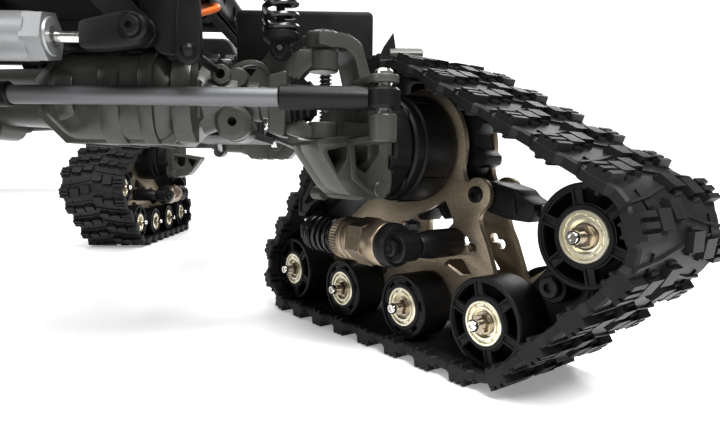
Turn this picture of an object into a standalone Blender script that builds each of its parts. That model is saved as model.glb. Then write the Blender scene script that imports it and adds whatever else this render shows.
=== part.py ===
"""Tracked crawler chassis: a ladder frame on two portal axles, with a triangular
track unit at each corner.  The front of the vehicle faces -Y, its left side is +X,
the ground is z = 0 and the origin is under the middle of the whole assembly.
Lengths below are in millimetres, angles in degrees, and y counts from the front axle.

Each track unit is drawn once, in a corner frame whose origin is on the ground under
the drive axle: x runs outboard from the kingpin, f runs forward and h runs up.
"""
import bpy
import bmesh
from math import acos, atan2, cos, degrees, hypot, pi, radians, sin
from mathutils import Matrix, Vector

MM = 0.001
ROUND = 20                    # sides of a large round piece
HOLE_SIDES = 8                # sides of a small hole or pin
RUN_GAP = 0.4                 # clearance round a turning pin

# Vehicle layout
HALF_TRACK = 75.0             # kingpin to centre line
WHEELBASE = 366.0
STEER = 36.0                  # the stored pose: full left lock
DRIVE_H = 83.0                # height of the drive axle of each track unit
AXLE_H = 99.0                 # height of the axle tubes, above the portal drop
DIFF_X = 14.0                 # the differential sits left of the centre line
MIDDLE_Y = 166.5              # the origin's distance behind the front axle

# Track unit: (f, h, radius) of each wheel, and the axle positions along x
LARGE_R = 16.0
SMALL_R = 13.2
WHEELS = [(-78.0, 22.0, LARGE_R), (-34.5, 19.2, SMALL_R), (7.5, 19.2, SMALL_R), (49.5, 22.0, LARGE_R)]
IDLER = (85.6, 55.8, 15.8)
IDLER_PIVOT = (71.0, 37.5)
IDLER_BOSS_R = 5.0
BELT_IN = 27.0
BELT_OUT = 79.0
BELT_INNER_R = 16.4
BELT_DRIVE_R = 31.9
CARCASS = 2.6
LUG = 3.0
LUG_COUNT = 28
LUG_SHARE = 0.52
LUG_LEAN = 0.5
STUD_END = 27.5
WHEEL_NEAR = (33.6, 48.0)
WHEEL_FAR = (71.0, 78.4)
AXLE_R = 4.0
STUD_R = 2.2
NEAR_PLATE = (49.5, 52.0)
FAR_PLATE = (67.0, 69.5)
SPROCKET_X = (55.0, 65.0)
SPROCKET_R = 31.0
SPROCKET_ROOT = 25.5
SPROCKET_TEETH = 12
SHAFT_R = 5.0
RING_R = 25.0
SPIGOT_R = 12.0
DRUM_R = 22.0
DRUM_X = (28.5, 49.1)
EAR = (31.3, 65.2)
LOWER_EAR = (-24.0, 29.5)
SLOT = ((25.9, 46.9), (29.7, 44.6))

# Rocking damper, whose axis runs fore and aft
DAMPER_X = 22.0
DAMPER_H = 46.0
DAMPER_EYE = 21.0
DAMPER_STUD = -43.5
DAMPER_R = 9.0
ROD_R = 1.8

# Steering linkage
ARM_F = 35.0
TIE_H = 97.0
TIE_R = 3.0
BALL_R = 4.2

# Frame and shocks
RAIL_Z = (136.0, 150.0)
RAIL_Y = (-62.0, 428.0)
SHOCK = (62.0, -8.0)
SHOCK_EYE_Z = 116.0
ROLL_H = AXLE_H

COLOURS = {
    "rubber": ((0.02, 0.02, 0.022), 0.75, 0.0),
    "black_plastic": ((0.015, 0.015, 0.016), 0.45, 0.0),
    "bronze_plate": ((0.30, 0.245, 0.185), 0.42, 0.85),
    "grey_plastic": ((0.14, 0.14, 0.13), 0.5, 0.0),
    "bronze_damper": ((0.42, 0.31, 0.20), 0.3, 0.9),
    "satin_aluminium": ((0.46, 0.46, 0.46), 0.35, 0.9),
}


def clear_scene():
    for item in list(bpy.data.objects):
        bpy.data.objects.remove(item, do_unlink=True)


def new_collection(name):
    group = bpy.data.collections.new(name)
    bpy.context.scene.collection.children.link(group)
    return group


def make_material(name):
    colour, roughness, metallic = COLOURS[name]
    material = bpy.data.materials.new(name)
    material.use_nodes = True
    shader = material.node_tree.nodes["Principled BSDF"]
    shader.inputs["Base Color"].default_value = (*colour, 1.0)
    shader.inputs["Roughness"].default_value = roughness
    shader.inputs["Metallic"].default_value = metallic
    return material


# ---------------------------------------------------------------- solid tools

def add_temporary(data):
    """A working object that a Boolean or a conversion uses up."""
    item = bpy.data.objects.new("work", data)
    bpy.context.scene.collection.objects.link(item)
    return item


def bake(item):
    """The evaluated mesh of a working object, in the corner frame; the object goes."""
    bpy.context.view_layer.update()
    graph = bpy.context.evaluated_depsgraph_get()
    mesh = bpy.data.meshes.new_from_object(item.evaluated_get(graph))
    mesh.transform(item.matrix_world)
    welded = bmesh.new()
    welded.from_mesh(mesh)
    bmesh.ops.remove_doubles(welded, verts=welded.verts, dist=0.005 * MM)
    welded.to_mesh(mesh)
    welded.free()
    bpy.data.objects.remove(item, do_unlink=True)
    return mesh


def box(low, high, bevel=0.0):
    size = [(top - bottom) * MM for bottom, top in zip(low, high)]
    centre = [(top + bottom) * MM / 2 for bottom, top in zip(low, high)]
    cube = bmesh.new()
    bmesh.ops.create_cube(cube, size=1.0)
    bmesh.ops.scale(cube, vec=size, verts=cube.verts)
    bmesh.ops.translate(cube, vec=centre, verts=cube.verts)
    mesh = bpy.data.meshes.new("box")
    cube.to_mesh(mesh)
    cube.free()
    if not bevel:
        return mesh
    item = add_temporary(mesh)
    rounding = item.modifiers.new("edges", "BEVEL")
    rounding.width = bevel * MM
    rounding.segments = 1
    return bake(item)


AXIS_TURN = {
    "X": Matrix.Rotation(radians(90), 4, "Y"),
    "Y": Matrix.Rotation(radians(-90), 4, "X"),
    "Z": Matrix.Identity(4),
}


def rod(axis, centre, start, end, radius, sides=ROUND):
    """A cylinder along an axis; centre gives its other two coordinates in X, Y, Z order."""
    shape = bmesh.new()
    bmesh.ops.create_cone(shape, cap_ends=True, segments=sides, radius1=radius * MM,
                          radius2=radius * MM, depth=(end - start) * MM)
    bmesh.ops.rotate(shape, matrix=AXIS_TURN[axis].to_3x3(), verts=shape.verts)
    middle = (start + end) / 2
    place = {"X": (middle, *centre), "Y": (centre[0], middle, centre[1]), "Z": (*centre, middle)}[axis]
    bmesh.ops.translate(shape, vec=Vector(place) * MM, verts=shape.verts)
    mesh = bpy.data.meshes.new("rod")
    shape.to_mesh(mesh)
    shape.free()
    return mesh


def turned(profile, f, h, sides):
    """A solid turned about an axle along x: profile is (x, radius) from the outboard end inward."""
    mesh = bpy.data.meshes.new("profile")
    points = [(radius * MM, 0.0, x * MM) for x, radius in profile]
    mesh.from_pydata(points, [(i, i + 1) for i in range(len(points) - 1)], [])
    item = add_temporary(mesh)
    screw = item.modifiers.new("turn", "SCREW")
    screw.axis = "Z"
    screw.steps = sides
    screw.render_steps = sides
    screw.use_merge_vertices = True
    screw.merge_threshold = 0.00001
    item.matrix_world = Matrix.Translation((0.0, -f * MM, h * MM)) @ AXIS_TURN["X"]
    return bake(item)


def outline(loops, start, end):
    """A flat outline in (f, h), with its holes, extruded along x from start to end."""
    curve = bpy.data.curves.new("outline", "CURVE")
    curve.dimensions = "2D"
    curve.fill_mode = "BOTH"
    curve.extrude = (end - start) / 2 * MM
    for loop in loops:
        spline = curve.splines.new("POLY")
        spline.points.add(len(loop) - 1)
        for point, (f, h) in zip(spline.points, loop):
            point.co = (f * MM, h * MM, 0.0, 1.0)
        spline.use_cyclic_u = True
    item = add_temporary(curve)
    turn = Matrix(((0, 0, -1, 0), (-1, 0, 0, 0), (0, 1, 0, 0), (0, 0, 0, 1)))
    item.matrix_world = Matrix.Translation(((start + end) / 2 * MM, 0.0, 0.0)) @ turn
    return bake(item)


def combine(first, others, operation):
    """Boolean of the first mesh with each of the others."""
    target = add_temporary(first)
    tools = [add_temporary(mesh) for mesh in others]
    for tool in tools:
        step = target.modifiers.new("step", "BOOLEAN")
        step.operation = operation
        step.solver = "EXACT"
        step.object = tool
    result = bake(target)
    for tool in tools:
        bpy.data.objects.remove(tool, do_unlink=True)
    return result


def fuse(first, *others):
    return combine(first, others, "UNION")


def carve(first, *others):
    return combine(first, others, "DIFFERENCE")


def mirrored(mesh):
    """The right-hand version of a left-hand mesh."""
    twin = mesh.copy()
    twin.transform(Matrix.Scale(-1, 4, (1, 0, 0)))
    twin.flip_normals()
    return twin


def arc(centre, radius, start, end, steps):
    """Points on an arc from the start angle to the end angle."""
    angles = [radians(start + (end - start) * i / steps) for i in range(steps + 1)]
    return [(centre[0] + radius * cos(a), centre[1] + radius * sin(a)) for a in angles]


def circle(centre, radius, sides=HOLE_SIDES):
    """A round hole whose flats clear the given radius."""
    reach = radius / cos(pi / sides)
    return arc(centre, reach, 0, 360 * (sides - 1) / sides, sides - 1)


# ---------------------------------------------------------------- belt path

def belt_segments():
    """Straight runs and arcs of the belt's inner face, counter-clockwise in (f, h)."""
    rounds = [(*WHEELS[0][:2], BELT_INNER_R), (*WHEELS[3][:2], BELT_INNER_R),
              (*IDLER[:2], BELT_INNER_R), (0.0, DRIVE_H, BELT_DRIVE_R)]
    normals = []
    for (f0, h0, r0), (f1, h1, r1) in zip(rounds, rounds[1:] + rounds[:1]):
        heading = degrees(atan2(h1 - h0, f1 - f0))
        normals.append(heading - degrees(acos((r0 - r1) / hypot(f1 - f0, h1 - h0))))
    segments = []
    for i, (f, h, radius) in enumerate(rounds):
        start = normals[i - 1]
        end = normals[i]
        while end < start:
            end += 360
        while end - start > 360:
            end -= 360
        segments.append(("arc", (f, h), radius, start, end))
        follower = rounds[(i + 1) % len(rounds)]
        segments.append(("line", (f, h), radius, end, follower))
    return segments


def segment_length(segment, offset):
    if segment[0] == "arc":
        return radians(segment[4] - segment[3]) * (segment[2] + offset)
    (f, h), radius, angle, (f1, h1, r1) = segment[1:]
    return (hypot(f1 - f, h1 - h) ** 2 - (radius - r1) ** 2) ** 0.5


def belt_point(distance, offset, measure):
    """The point at a distance along the belt (taken at the measure offset), moved out by offset."""
    for segment in belt_segments():
        length = segment_length(segment, measure)
        if distance <= length:
            break
        distance -= length
    kind, (f, h), radius = segment[:3]
    if kind == "arc":
        angle = segment[3] + degrees(distance / (radius + measure))
        along = 0.0
    else:
        angle = segment[3]
        along = distance
    out = Vector((cos(radians(angle)), sin(radians(angle))))
    forward = Vector((-out.y, out.x))
    place = Vector((f, h)) + out * (radius + offset) + forward * along
    return (place.x, place.y)


def belt_loop(offset, step):
    """The closed path at an offset from the belt's inner face, with arcs cut into short chords."""
    points = []
    for segment in belt_segments():
        if segment[0] == "arc":
            steps = max(2, round((segment[4] - segment[3]) / step))
            points += arc(segment[1], segment[2] + offset, segment[3], segment[4], steps)
    return points


def belt_lugs():
    """The toothed outer path: every lug spans the belt's width."""
    total = sum(segment_length(segment, CARCASS) for segment in belt_segments())
    pitch = total / LUG_COUNT
    points = []
    for i in range(LUG_COUNT):
        start = i * pitch + pitch * (1 - LUG_SHARE) / 2
        end = start + pitch * LUG_SHARE
        for distance, offset in ((start, CARCASS), (start + LUG_LEAN, CARCASS + LUG),
                                 (end - LUG_LEAN, CARCASS + LUG), (end, CARCASS)):
            points.append(belt_point(distance, offset, CARCASS))
    return points


# ---------------------------------------------------------------- track unit pieces

def belt():
    inner_step = 15
    return outline([belt_lugs(), belt_loop(0.0, inner_step)], BELT_IN, BELT_OUT)


def wheel(f, h, radius):
    sides = 12
    profile = [(WHEEL_FAR[1], 0.0), (WHEEL_FAR[1], radius), (WHEEL_FAR[0], radius), (WHEEL_FAR[0], AXLE_R),
               (WHEEL_NEAR[1], AXLE_R), (WHEEL_NEAR[1], radius), (WHEEL_NEAR[0], radius),
               (WHEEL_NEAR[0], STUD_R), (STUD_END, STUD_R), (STUD_END, 0.0)]
    return turned(profile, f, h, sides)


def plate_outline():
    """The side plate: a ring round the drive axle, three legs and the ear of the tensioner."""
    foot_r = 8.0
    front_r = 9.0
    ear_r = 6.6
    leg_edge = [(49.0, 31.5), (41.5, 34.5), (36.6, 46.8), (32.4, 55.6)]
    notch = [(25.6, 69.8)]
    rear, front = WHEELS[0][:2], WHEELS[3][:2]
    points = arc(rear, foot_r, 135, 270, 4)
    points += arc(front, front_r, 270, 310, 2)
    points += arc(IDLER_PIVOT, foot_r, -45, 115, 5)
    points += leg_edge + arc(EAR, ear_r, -65, 120, 6) + notch
    points += arc((0.0, DRIVE_H), RING_R, -18, 212, 12)
    return points


def plate(span, hub_hole):
    """A side plate across the span in x, with its axle holes and windows."""
    rear_window = [(-50.0, 35.0), (-29.0, 52.0), (-17.0, 49.5), (-23.0, 37.0), (-33.0, 32.5)]
    middle_window = [(15.0, 62.4), (19.9, 53.6), (15.6, 50.0), (14.0, 44.5), (10.5, 41.0), (-6.0, 40.5),
                     (-11.5, 45.0), (-12.0, 51.2), (6.4, 58.5)]
    low_window = [(25.0, 39.6), (29.6, 34.2), (24.0, 33.0), (15.0, 36.2), (17.5, 38.4)]
    slot_r = 1.9
    slot_turn = degrees(atan2(SLOT[1][1] - SLOT[0][1], SLOT[1][0] - SLOT[0][0]))
    slot = arc(SLOT[1], slot_r, slot_turn - 90, slot_turn + 90, 3)
    slot += arc(SLOT[0], slot_r, slot_turn + 90, slot_turn + 270, 3)
    pivot_r = IDLER_BOSS_R + RUN_GAP
    holes = [circle(place[:2], AXLE_R + RUN_GAP) for place in WHEELS]
    holes += [circle(IDLER_PIVOT, pivot_r), circle((0.0, DRIVE_H), hub_hole + RUN_GAP, ROUND)]
    return outline([plate_outline(), rear_window, middle_window, low_window, slot] + holes, *span)


def damper_pin():
    """The pin that carries the damper's eye, standing inboard from the near plate."""
    pin_r = 2.6
    pin_end = 16.5
    return rod("X", (-DAMPER_EYE, DAMPER_H), pin_end, NEAR_PLATE[0] + 1.0, pin_r, HOLE_SIDES)


def inner_plate():
    return fuse(plate(NEAR_PLATE, SPIGOT_R), damper_pin())


def outer_plate():
    return plate(FAR_PLATE, SHAFT_R)


def spacer(place):
    spacer_r = 3.6
    overlap = 1.0
    span = (NEAR_PLATE[1] - overlap, FAR_PLATE[0] + overlap)
    return rod("X", (-place[0], place[1]), *span, spacer_r, HOLE_SIDES)


def side_frame():
    """Both plates of a rear unit, welded to the spacers between them."""
    return fuse(inner_plate(), spacer(EAR), spacer(LOWER_EAR), outer_plate())


def sprocket():
    """The drive sprocket and its shaft."""
    tooth = 360 / SPROCKET_TEETH
    profile = ((0.0, SPROCKET_ROOT), (0.42, SPROCKET_ROOT), (0.58, SPROCKET_R), (0.84, SPROCKET_R))
    rim = []
    for i in range(SPROCKET_TEETH):
        for share, radius in profile:
            turn = radians(tooth * (i + share))
            rim.append((radius * cos(turn), DRIVE_H + radius * sin(turn)))
    shaft_span = (31.0, 72.0)
    shaft = rod("X", (0.0, DRIVE_H), *shaft_span, SHAFT_R, 12)
    return fuse(outline([rim], *SPROCKET_X), shaft)


def idler_arm():
    """The fork that carries the idler; its boss is the tensioner's pivot."""
    end_r = 7.2
    tilt = degrees(atan2(IDLER[1] - IDLER_PIVOT[1], IDLER[0] - IDLER_PIVOT[0]))
    arm_span = (53.0, 66.0)
    boss_span = (41.0, 68.5)
    sides = arc(IDLER_PIVOT, end_r, tilt + 90, tilt + 270, 6) + arc(IDLER[:2], end_r, tilt - 90, tilt + 90, 6)
    body = outline([sides, circle(IDLER[:2], AXLE_R + RUN_GAP)], *arm_span)
    return fuse(body, rod("X", (-IDLER_PIVOT[0], IDLER_PIVOT[1]), *boss_span, IDLER_BOSS_R, 12))


def damper_body():
    """Damper cylinder with its end cap and eye, bored for the rod."""
    open_end = -16.0
    cap = 13.5
    eye_r = 5.6
    eye_half = 4.6
    cheek = 4.4
    bore_depth = 8.0
    tube = rod("Y", (DAMPER_X, DAMPER_H), -cap, -open_end, DAMPER_R, 16)
    neck = box((DAMPER_X - cheek, -DAMPER_EYE, DAMPER_H - cheek),
               (DAMPER_X + cheek, -cap + 1, DAMPER_H + cheek))
    eye = rod("X", (-DAMPER_EYE, DAMPER_H), DAMPER_X - eye_half, DAMPER_X + eye_half, eye_r, 14)
    bore = rod("Y", (DAMPER_X, DAMPER_H), -bore_depth, -open_end + 1, ROD_R + 0.6, HOLE_SIDES)
    pin_hole_r = 3.2
    pin_hole = rod("X", (-DAMPER_EYE, DAMPER_H), DAMPER_X - 9, DAMPER_X + 9, pin_hole_r, HOLE_SIDES)
    return carve(fuse(tube, neck, eye), bore, pin_hole)


def damper_rod():
    """Damper rod and the ball cup at its rear end."""
    cup_r = 4.0
    cup_half = 3.4
    tip = -7.0
    shank_r = 3.0
    shank_end = -36.0
    cup = rod("Z", (DAMPER_X, -DAMPER_STUD), DAMPER_H - cup_half, DAMPER_H + cup_half, cup_r, 14)
    shank = rod("Y", (DAMPER_X, DAMPER_H), -shank_end, -DAMPER_STUD - 1, shank_r, HOLE_SIDES)
    shaft = rod("Y", (DAMPER_X, DAMPER_H), -tip, -shank_end + 1, ROD_R, HOLE_SIDES)
    return fuse(cup, shank, shaft)


def hub_mount():
    """Round hub that the unit rocks on, with the gusseted bracket for the damper's stud."""
    bracket_span = (29.0, 33.0)
    pad_start = 17.5
    boss = (-47.5, -39.5)
    boss_h = (51.5, 57.0)
    bracket = [(-12.0, 97.0), (-22.0, 90.0), (boss[0], boss_h[1] + 2.5), (boss[0], boss_h[0]),
               (boss[1], boss_h[0]), (-12.0, 66.0)]
    window = [(-24.0, 84.0), (-41.0, 63.0), (-36.0, 59.5), (-24.0, 65.5)]
    pad = box((pad_start, -boss[1], boss_h[0]), (bracket_span[1], -boss[0], boss_h[1]))
    stud_r = 1.6
    stud = rod("Z", (DAMPER_X, -DAMPER_STUD), DAMPER_H + 4.0, boss_h[0] + 1, stud_r, HOLE_SIDES)
    drum = rod("X", (0.0, DRIVE_H), *DRUM_X, DRUM_R)
    spigot = rod("X", (0.0, DRIVE_H), DRUM_X[1] - 1, NEAR_PLATE[1] + 1, SPIGOT_R)
    bore = rod("X", (0.0, DRIVE_H), DRUM_X[0] - 1, NEAR_PLATE[1] + 2, SHAFT_R + RUN_GAP, 12)
    return carve(fuse(drum, spigot, outline([bracket, window], *bracket_span), pad, stud), bore)


# ---------------------------------------------------------------- axles and steering

KING_TOP = (117.6, 124.0)
KING_LOW = (80.0, 84.6)
FLANGE_X = (19.0, 28.0)
FLANGE_R = 19.5
CASE_X = (8.0, 20.0)
CASE_Y = (-17.0, 13.0)
CASE_Z = (63.0, 104.0)


def portal_box():
    """Portal gear case: a deep block whose round flange faces the hub."""
    case_bevel = 2.0
    gusset_x = (-6.0, 9.0)
    gusset_sides = [(2.0, 60.5), (16.0, 60.5), (22.0, 74.0), (22.0, 84.0), (2.0, 84.0)]
    case = box((CASE_X[0], CASE_Y[0], CASE_Z[0]), (CASE_X[1], CASE_Y[1], CASE_Z[1]), case_bevel)
    flange = rod("X", (0.0, DRIVE_H), *FLANGE_X, FLANGE_R)
    return fuse(case, flange, outline([gusset_sides], *gusset_x))


def knuckle():
    """Steering knuckle: two kingpin arms, the portal case and the steering clevis."""
    king_r = 6.2
    arm_half = 5.0
    web_half = 6.0
    web_x = (14.0, CASE_X[1])
    web_z = (98.0, KING_TOP[1] - 2.0)
    top = rod("Z", (0.0, 0.0), *KING_TOP, king_r, 16)
    top_arm = box((0.0, -arm_half, KING_TOP[0]), (web_x[1], arm_half, KING_TOP[1] - 1.0), 1.0)
    web = box((web_x[0], -web_half, web_z[0]), (web_x[1], web_half, web_z[1]))
    low = rod("Z", (0.0, 0.0), *KING_LOW, king_r, 16)
    low_arm = box((0.0, -web_half, KING_LOW[0]), (web_x[0], web_half, KING_LOW[1] - 0.6))
    return fuse(portal_box(), top, top_arm, web, low, low_arm, *steering_clevis())


def steering_clevis():
    """The tab above the tie rod's ball and the braced post below it."""
    tab_z = (101.6, 104.4)
    tab_x = (0.0, 9.5)
    tab_end_r = 5.0
    post_z = (83.0, 92.4)
    post_r = 4.6
    brace_x = (0.5, 7.5)
    brace_top = 89.0
    tab = box((tab_x[0], -ARM_F, tab_z[0]), (tab_x[1], CASE_Y[0] + 5, tab_z[1]))
    tab_end = rod("Z", (0.0, -ARM_F), *tab_z, tab_end_r, 12)
    post = rod("Z", (0.0, -ARM_F), *post_z, post_r, 12)
    brace = box((brace_x[0], -ARM_F, post_z[0]), (brace_x[1], CASE_Y[0] + 2, brace_top))
    return [tab, tab_end, post, brace]


DIFF_H = AXLE_H - 2.0
TUBE_R = 6.6
LINK_X = 44.0                 # where the suspension links meet the axles
NOSE_R = 9.0                  # pinion housing


def axle_tube(reach):
    return rod("X", (0.0, AXLE_H), -reach, reach, TUBE_R, 16)


def diff_case(span):
    """Eight-sided differential case round the ring gear, across the span in y."""
    width, height, chamfer = 24.0, 14.5, 8.5
    quarter = [(width, height - chamfer), (width - chamfer, height)]
    half = quarter + [(-x, z) for x, z in reversed(quarter)]
    sides = half + [(-x, -z) for x, z in half]
    case = outline([sides], *span)
    case.transform(Matrix.Rotation(radians(90), 4, "Z"))
    case.transform(Matrix.Translation((DIFF_X * MM, 0.0, DIFF_H * MM)))
    return case


def pinion_nose(start, end):
    return rod("Y", (DIFF_X, AXLE_H), start, end, NOSE_R, 16)


def link_mount(side, y):
    """Lug under the axle tube for a lower suspension link; y is its middle."""
    half_x, half_y = 4.0, 8.0
    z = (84.0, 96.0)
    x = side * LINK_X
    return box((x - half_x, y - half_y, z[0]), (x + half_x, y + half_y, z[1]), 1.0)


def c_hub(side):
    """Fork at the axle's end, between the two kingpin arms of its knuckle."""
    upper = (108.0, 117.2)
    lower = (85.0, 91.5)
    boss_r = 5.6
    arm_half = 4.2
    arm_start = HALF_TRACK - 17.0
    root = (HALF_TRACK - 19.0, HALF_TRACK - 12.0)
    root_half = 10.0
    root_top = 109.2
    pieces = []
    for span in (upper, lower):
        pieces.append(rod("Z", (side * HALF_TRACK, 0.0), *span, boss_r, 16))
        ends = sorted((side * arm_start, side * HALF_TRACK))
        pieces.append(box((ends[0], -arm_half, span[0]), (ends[1], arm_half, span[1])))
    ends = sorted(side * x for x in root)
    pieces.append(box((ends[0], -root_half, lower[0]), (ends[1], root_half, root_top), 1.5))
    return pieces


def shock_mount(side):
    """Foot on the axle tube and the pin boss that the shock's lower eye stands over."""
    foot_half = 3.0
    foot_y = (-5.0, 1.0)
    foot_z = (103.0, 111.0)
    boss_r = 3.2
    x = side * SHOCK[0]
    foot = box((x - foot_half, foot_y[0], foot_z[0]), (x + foot_half, foot_y[1], foot_z[1]))
    boss = rod("Y", (x, SHOCK_EYE_Z - 7.6), SHOCK[1] - 1.0, 0.0, boss_r, 12)
    return [foot, boss]


def front_axle():
    """Front axle housing with its forks, shock mounts and link mounts."""
    case_span = (-12.0, 16.0)
    nose_end = 30.0
    link_y = 4.0
    body = fuse(axle_tube(HALF_TRACK - 13.0), diff_case(case_span))
    body = fuse(body, pinion_nose(case_span[1] - 6, nose_end))
    for side in (-1, 1):
        body = fuse(body, *c_hub(side), *shock_mount(side), link_mount(side, link_y))
    return body


def front_diff_cover():
    """Domed cover on the front of the differential case."""
    rim = diff_case((-15.0, -12.4))
    dome = diff_case((-23.0, -14.5))
    dome_start = -20.0
    narrow, low = 0.58, 0.62
    for point in dome.vertices:
        if point.co.y < dome_start * MM:
            point.co.x = DIFF_X * MM + (point.co.x - DIFF_X * MM) * narrow
            point.co.z = DIFF_H * MM + (point.co.z - DIFF_H * MM) * low
    return fuse(rim, dome)


def hub_block():
    """The fixed joint between a rear portal flange and its hub."""
    overlap = 1.0
    return rod("X", (0.0, DRIVE_H), FLANGE_X[1] - overlap, DRUM_X[0] + overlap, SPIGOT_R, 16)


def rear_axle():
    """Rear axle housing with fixed portal cases, hubs and damper brackets."""
    case_span = (-16.0, 18.0)
    nose_end = -32.0
    link_y = -4.0
    body = fuse(axle_tube(HALF_TRACK + 12.0), diff_case(case_span))
    body = fuse(body, pinion_nose(nose_end, case_span[0] + 6))
    corner = fuse(portal_box(), hub_block(), hub_mount())
    for side in (-1, 1):
        end = corner.copy() if side > 0 else mirrored(corner)
        end.transform(Matrix.Translation((side * HALF_TRACK * MM, 0.0, 0.0)))
        body = fuse(body, end, link_mount(side, link_y))
    return body


def tie_rod():
    """Tie rod, drawn along x from the left ball, with a rod end on each side."""
    cup_half = 3.4
    cup_r = BALL_R + 1.4
    shank_r = 3.9
    shank = 33.0
    overlap = 4.0
    length = 2 * HALF_TRACK
    pieces = [rod("X", (0.0, 0.0), -length + shank - overlap, -shank + overlap, TIE_R, 16)]
    for start in (0.0, -length):
        side = 1 if start else -1
        ends = sorted((start, start + side * shank))
        pieces.append(rod("X", (0.0, 0.0), *ends, shank_r, 14))
        pieces.append(rod("Z", (start, 0.0), -cup_half, cup_half, cup_r, 16))
    return fuse(pieces[0], *pieces[1:])


# ---------------------------------------------------------------- frame

RAIL_X = (26.0, 33.0)
CROSS_Z = (139.0, 147.0)
CROSS_WIDTH = 8.0
CROSSES = (-58.0, 66.0, 292.0, 418.0)
SHOCK_TOP = 184.0
SHOCK_R = 6.0
PAN_Z = (92.0, 97.0)          # skid plate under the gearbox


def rail(side):
    """One C-section rail."""
    wall = 2.0
    ends = sorted(side * x for x in RAIL_X)
    whole = box((ends[0], RAIL_Y[0], RAIL_Z[0]), (ends[1], RAIL_Y[1], RAIL_Z[1]))
    hollow_ends = sorted((side * (RAIL_X[0] - 1), side * (RAIL_X[1] - wall)))
    hollow = box((hollow_ends[0], RAIL_Y[0] - 1, RAIL_Z[0] + wall),
                 (hollow_ends[1], RAIL_Y[1] + 1, RAIL_Z[1] - wall))
    return carve(whole, hollow)


def shock_tower(side, y):
    """Upright on the rail that carries a shock's top eye."""
    gap = 0.3
    foot_x = (RAIL_X[1] - 1.5, RAIL_X[1] + 5.0)
    foot_half, shelf_half = 12.0, 5.0
    shelf_z = SHOCK_TOP - 8.0
    foot = sorted(side * x for x in foot_x)
    upright = box((foot[0], y - foot_half, RAIL_Z[0] + 2), (foot[1], y + foot_half, SHOCK_TOP), 1.0)
    reach = sorted((side * (foot_x[1] - 1), side * (SHOCK[0] - SHOCK_R - gap)))
    shelf = box((reach[0], y - shelf_half, shelf_z), (reach[1], y + shelf_half, SHOCK_TOP), 1.0)
    return [upright, shelf]


def ladder_frame():
    """Both rails with their cross members and shock towers."""
    half = RAIL_X[1] - 1.0
    crosses = [box((-half, y, CROSS_Z[0]), (half, y + CROSS_WIDTH, CROSS_Z[1])) for y in CROSSES]
    body = fuse(rail(-1), rail(1), *crosses)
    for side in (-1, 1):
        for y in (SHOCK[1], WHEELBASE - SHOCK[1]):
            body = fuse(body, *shock_tower(side, y))
    return body


def gearbox():
    """Skid plate and transfer case, hung between the rails."""
    skid_half, skid_y = 25.5, (110.0, 240.0)
    case_half, case_y = 22.0, (130.0, 215.0)
    shaft_z, shaft_r, shaft_y = 112.0, 8.0, (118.0, 228.0)
    motor_z, motor_r, motor_y = 140.0, 17.5, (210.0, 262.0)
    hanger_starts, hanger_width = (136.0, 198.0), 10.0
    hanger_z = (128.0, RAIL_Z[0] - 0.3)
    skid = box((-skid_half, skid_y[0], PAN_Z[0]), (skid_half, skid_y[1], PAN_Z[1]), 1.5)
    case = box((-case_half, case_y[0], PAN_Z[1] - 1), (case_half, case_y[1], RAIL_Z[1]), 3.0)
    output = rod("Y", (DIFF_X, shaft_z), *shaft_y, shaft_r, 16)
    motor = rod("Y", (0.0, motor_z), *motor_y, motor_r)
    hangers = [box((-RAIL_X[1], y, hanger_z[0]), (RAIL_X[1], y + hanger_width, hanger_z[1]))
               for y in hanger_starts]
    return fuse(skid, case, output, motor, *hangers)


def shock_body():
    """Shock cylinder, open at its lower end for the rod."""
    low = 136.0
    cap_r, cap_height = 5.0, 8.0
    bore_r = 4.6
    ceiling = 172.0
    tube = rod("Z", (0.0, 0.0), low, SHOCK_TOP - cap_height / 2, SHOCK_R, 16)
    cap = rod("Z", (0.0, 0.0), SHOCK_TOP - cap_height, SHOCK_TOP, cap_r, 16)
    bore = rod("Z", (0.0, 0.0), low - 1, ceiling, bore_r, 12)
    return carve(fuse(tube, cap), bore)


def shock_rod():
    """Shock rod with its lower eye and spring perch, drawn round the eye's centre."""
    eye_r, eye_half = 3.6, 3.2
    perch_r, perch_z = 5.6, (3.0, 7.0)
    reach = 36.0
    eye = rod("Y", (0.0, 0.0), -eye_half, eye_half, eye_r, 14)
    shaft = rod("Z", (0.0, 0.0), 1.0, reach, ROD_R, HOLE_SIDES)
    perch = rod("Z", (0.0, 0.0), *perch_z, perch_r, 14)
    return fuse(eye, perch, shaft)


# ---------------------------------------------------------------- assembly

def add_part(group, name, mesh, material, parent, pivot, smooth=True):
    """Place a mesh drawn in its corner frame, with its origin moved to the pivot."""
    local = mesh.copy()
    local.transform(Matrix.Translation(-Vector(pivot) * MM))
    local.materials.clear()
    local.materials.append(material)
    local.name = name
    if smooth:
        local.shade_smooth()
        local.set_sharp_from_angle(angle=radians(35))
    item = bpy.data.objects.new(name, local)
    group.objects.link(item)
    item.parent = parent
    item.location = Vector(pivot) * MM
    return item


def add_empty(group, name, parent, location, turn=0.0):
    empty = bpy.data.objects.new(name, None)
    group.objects.link(empty)
    empty.parent = parent
    empty.location = Vector(location) * MM
    empty.rotation_euler = (0.0, 0.0, radians(turn))
    return empty


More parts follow.
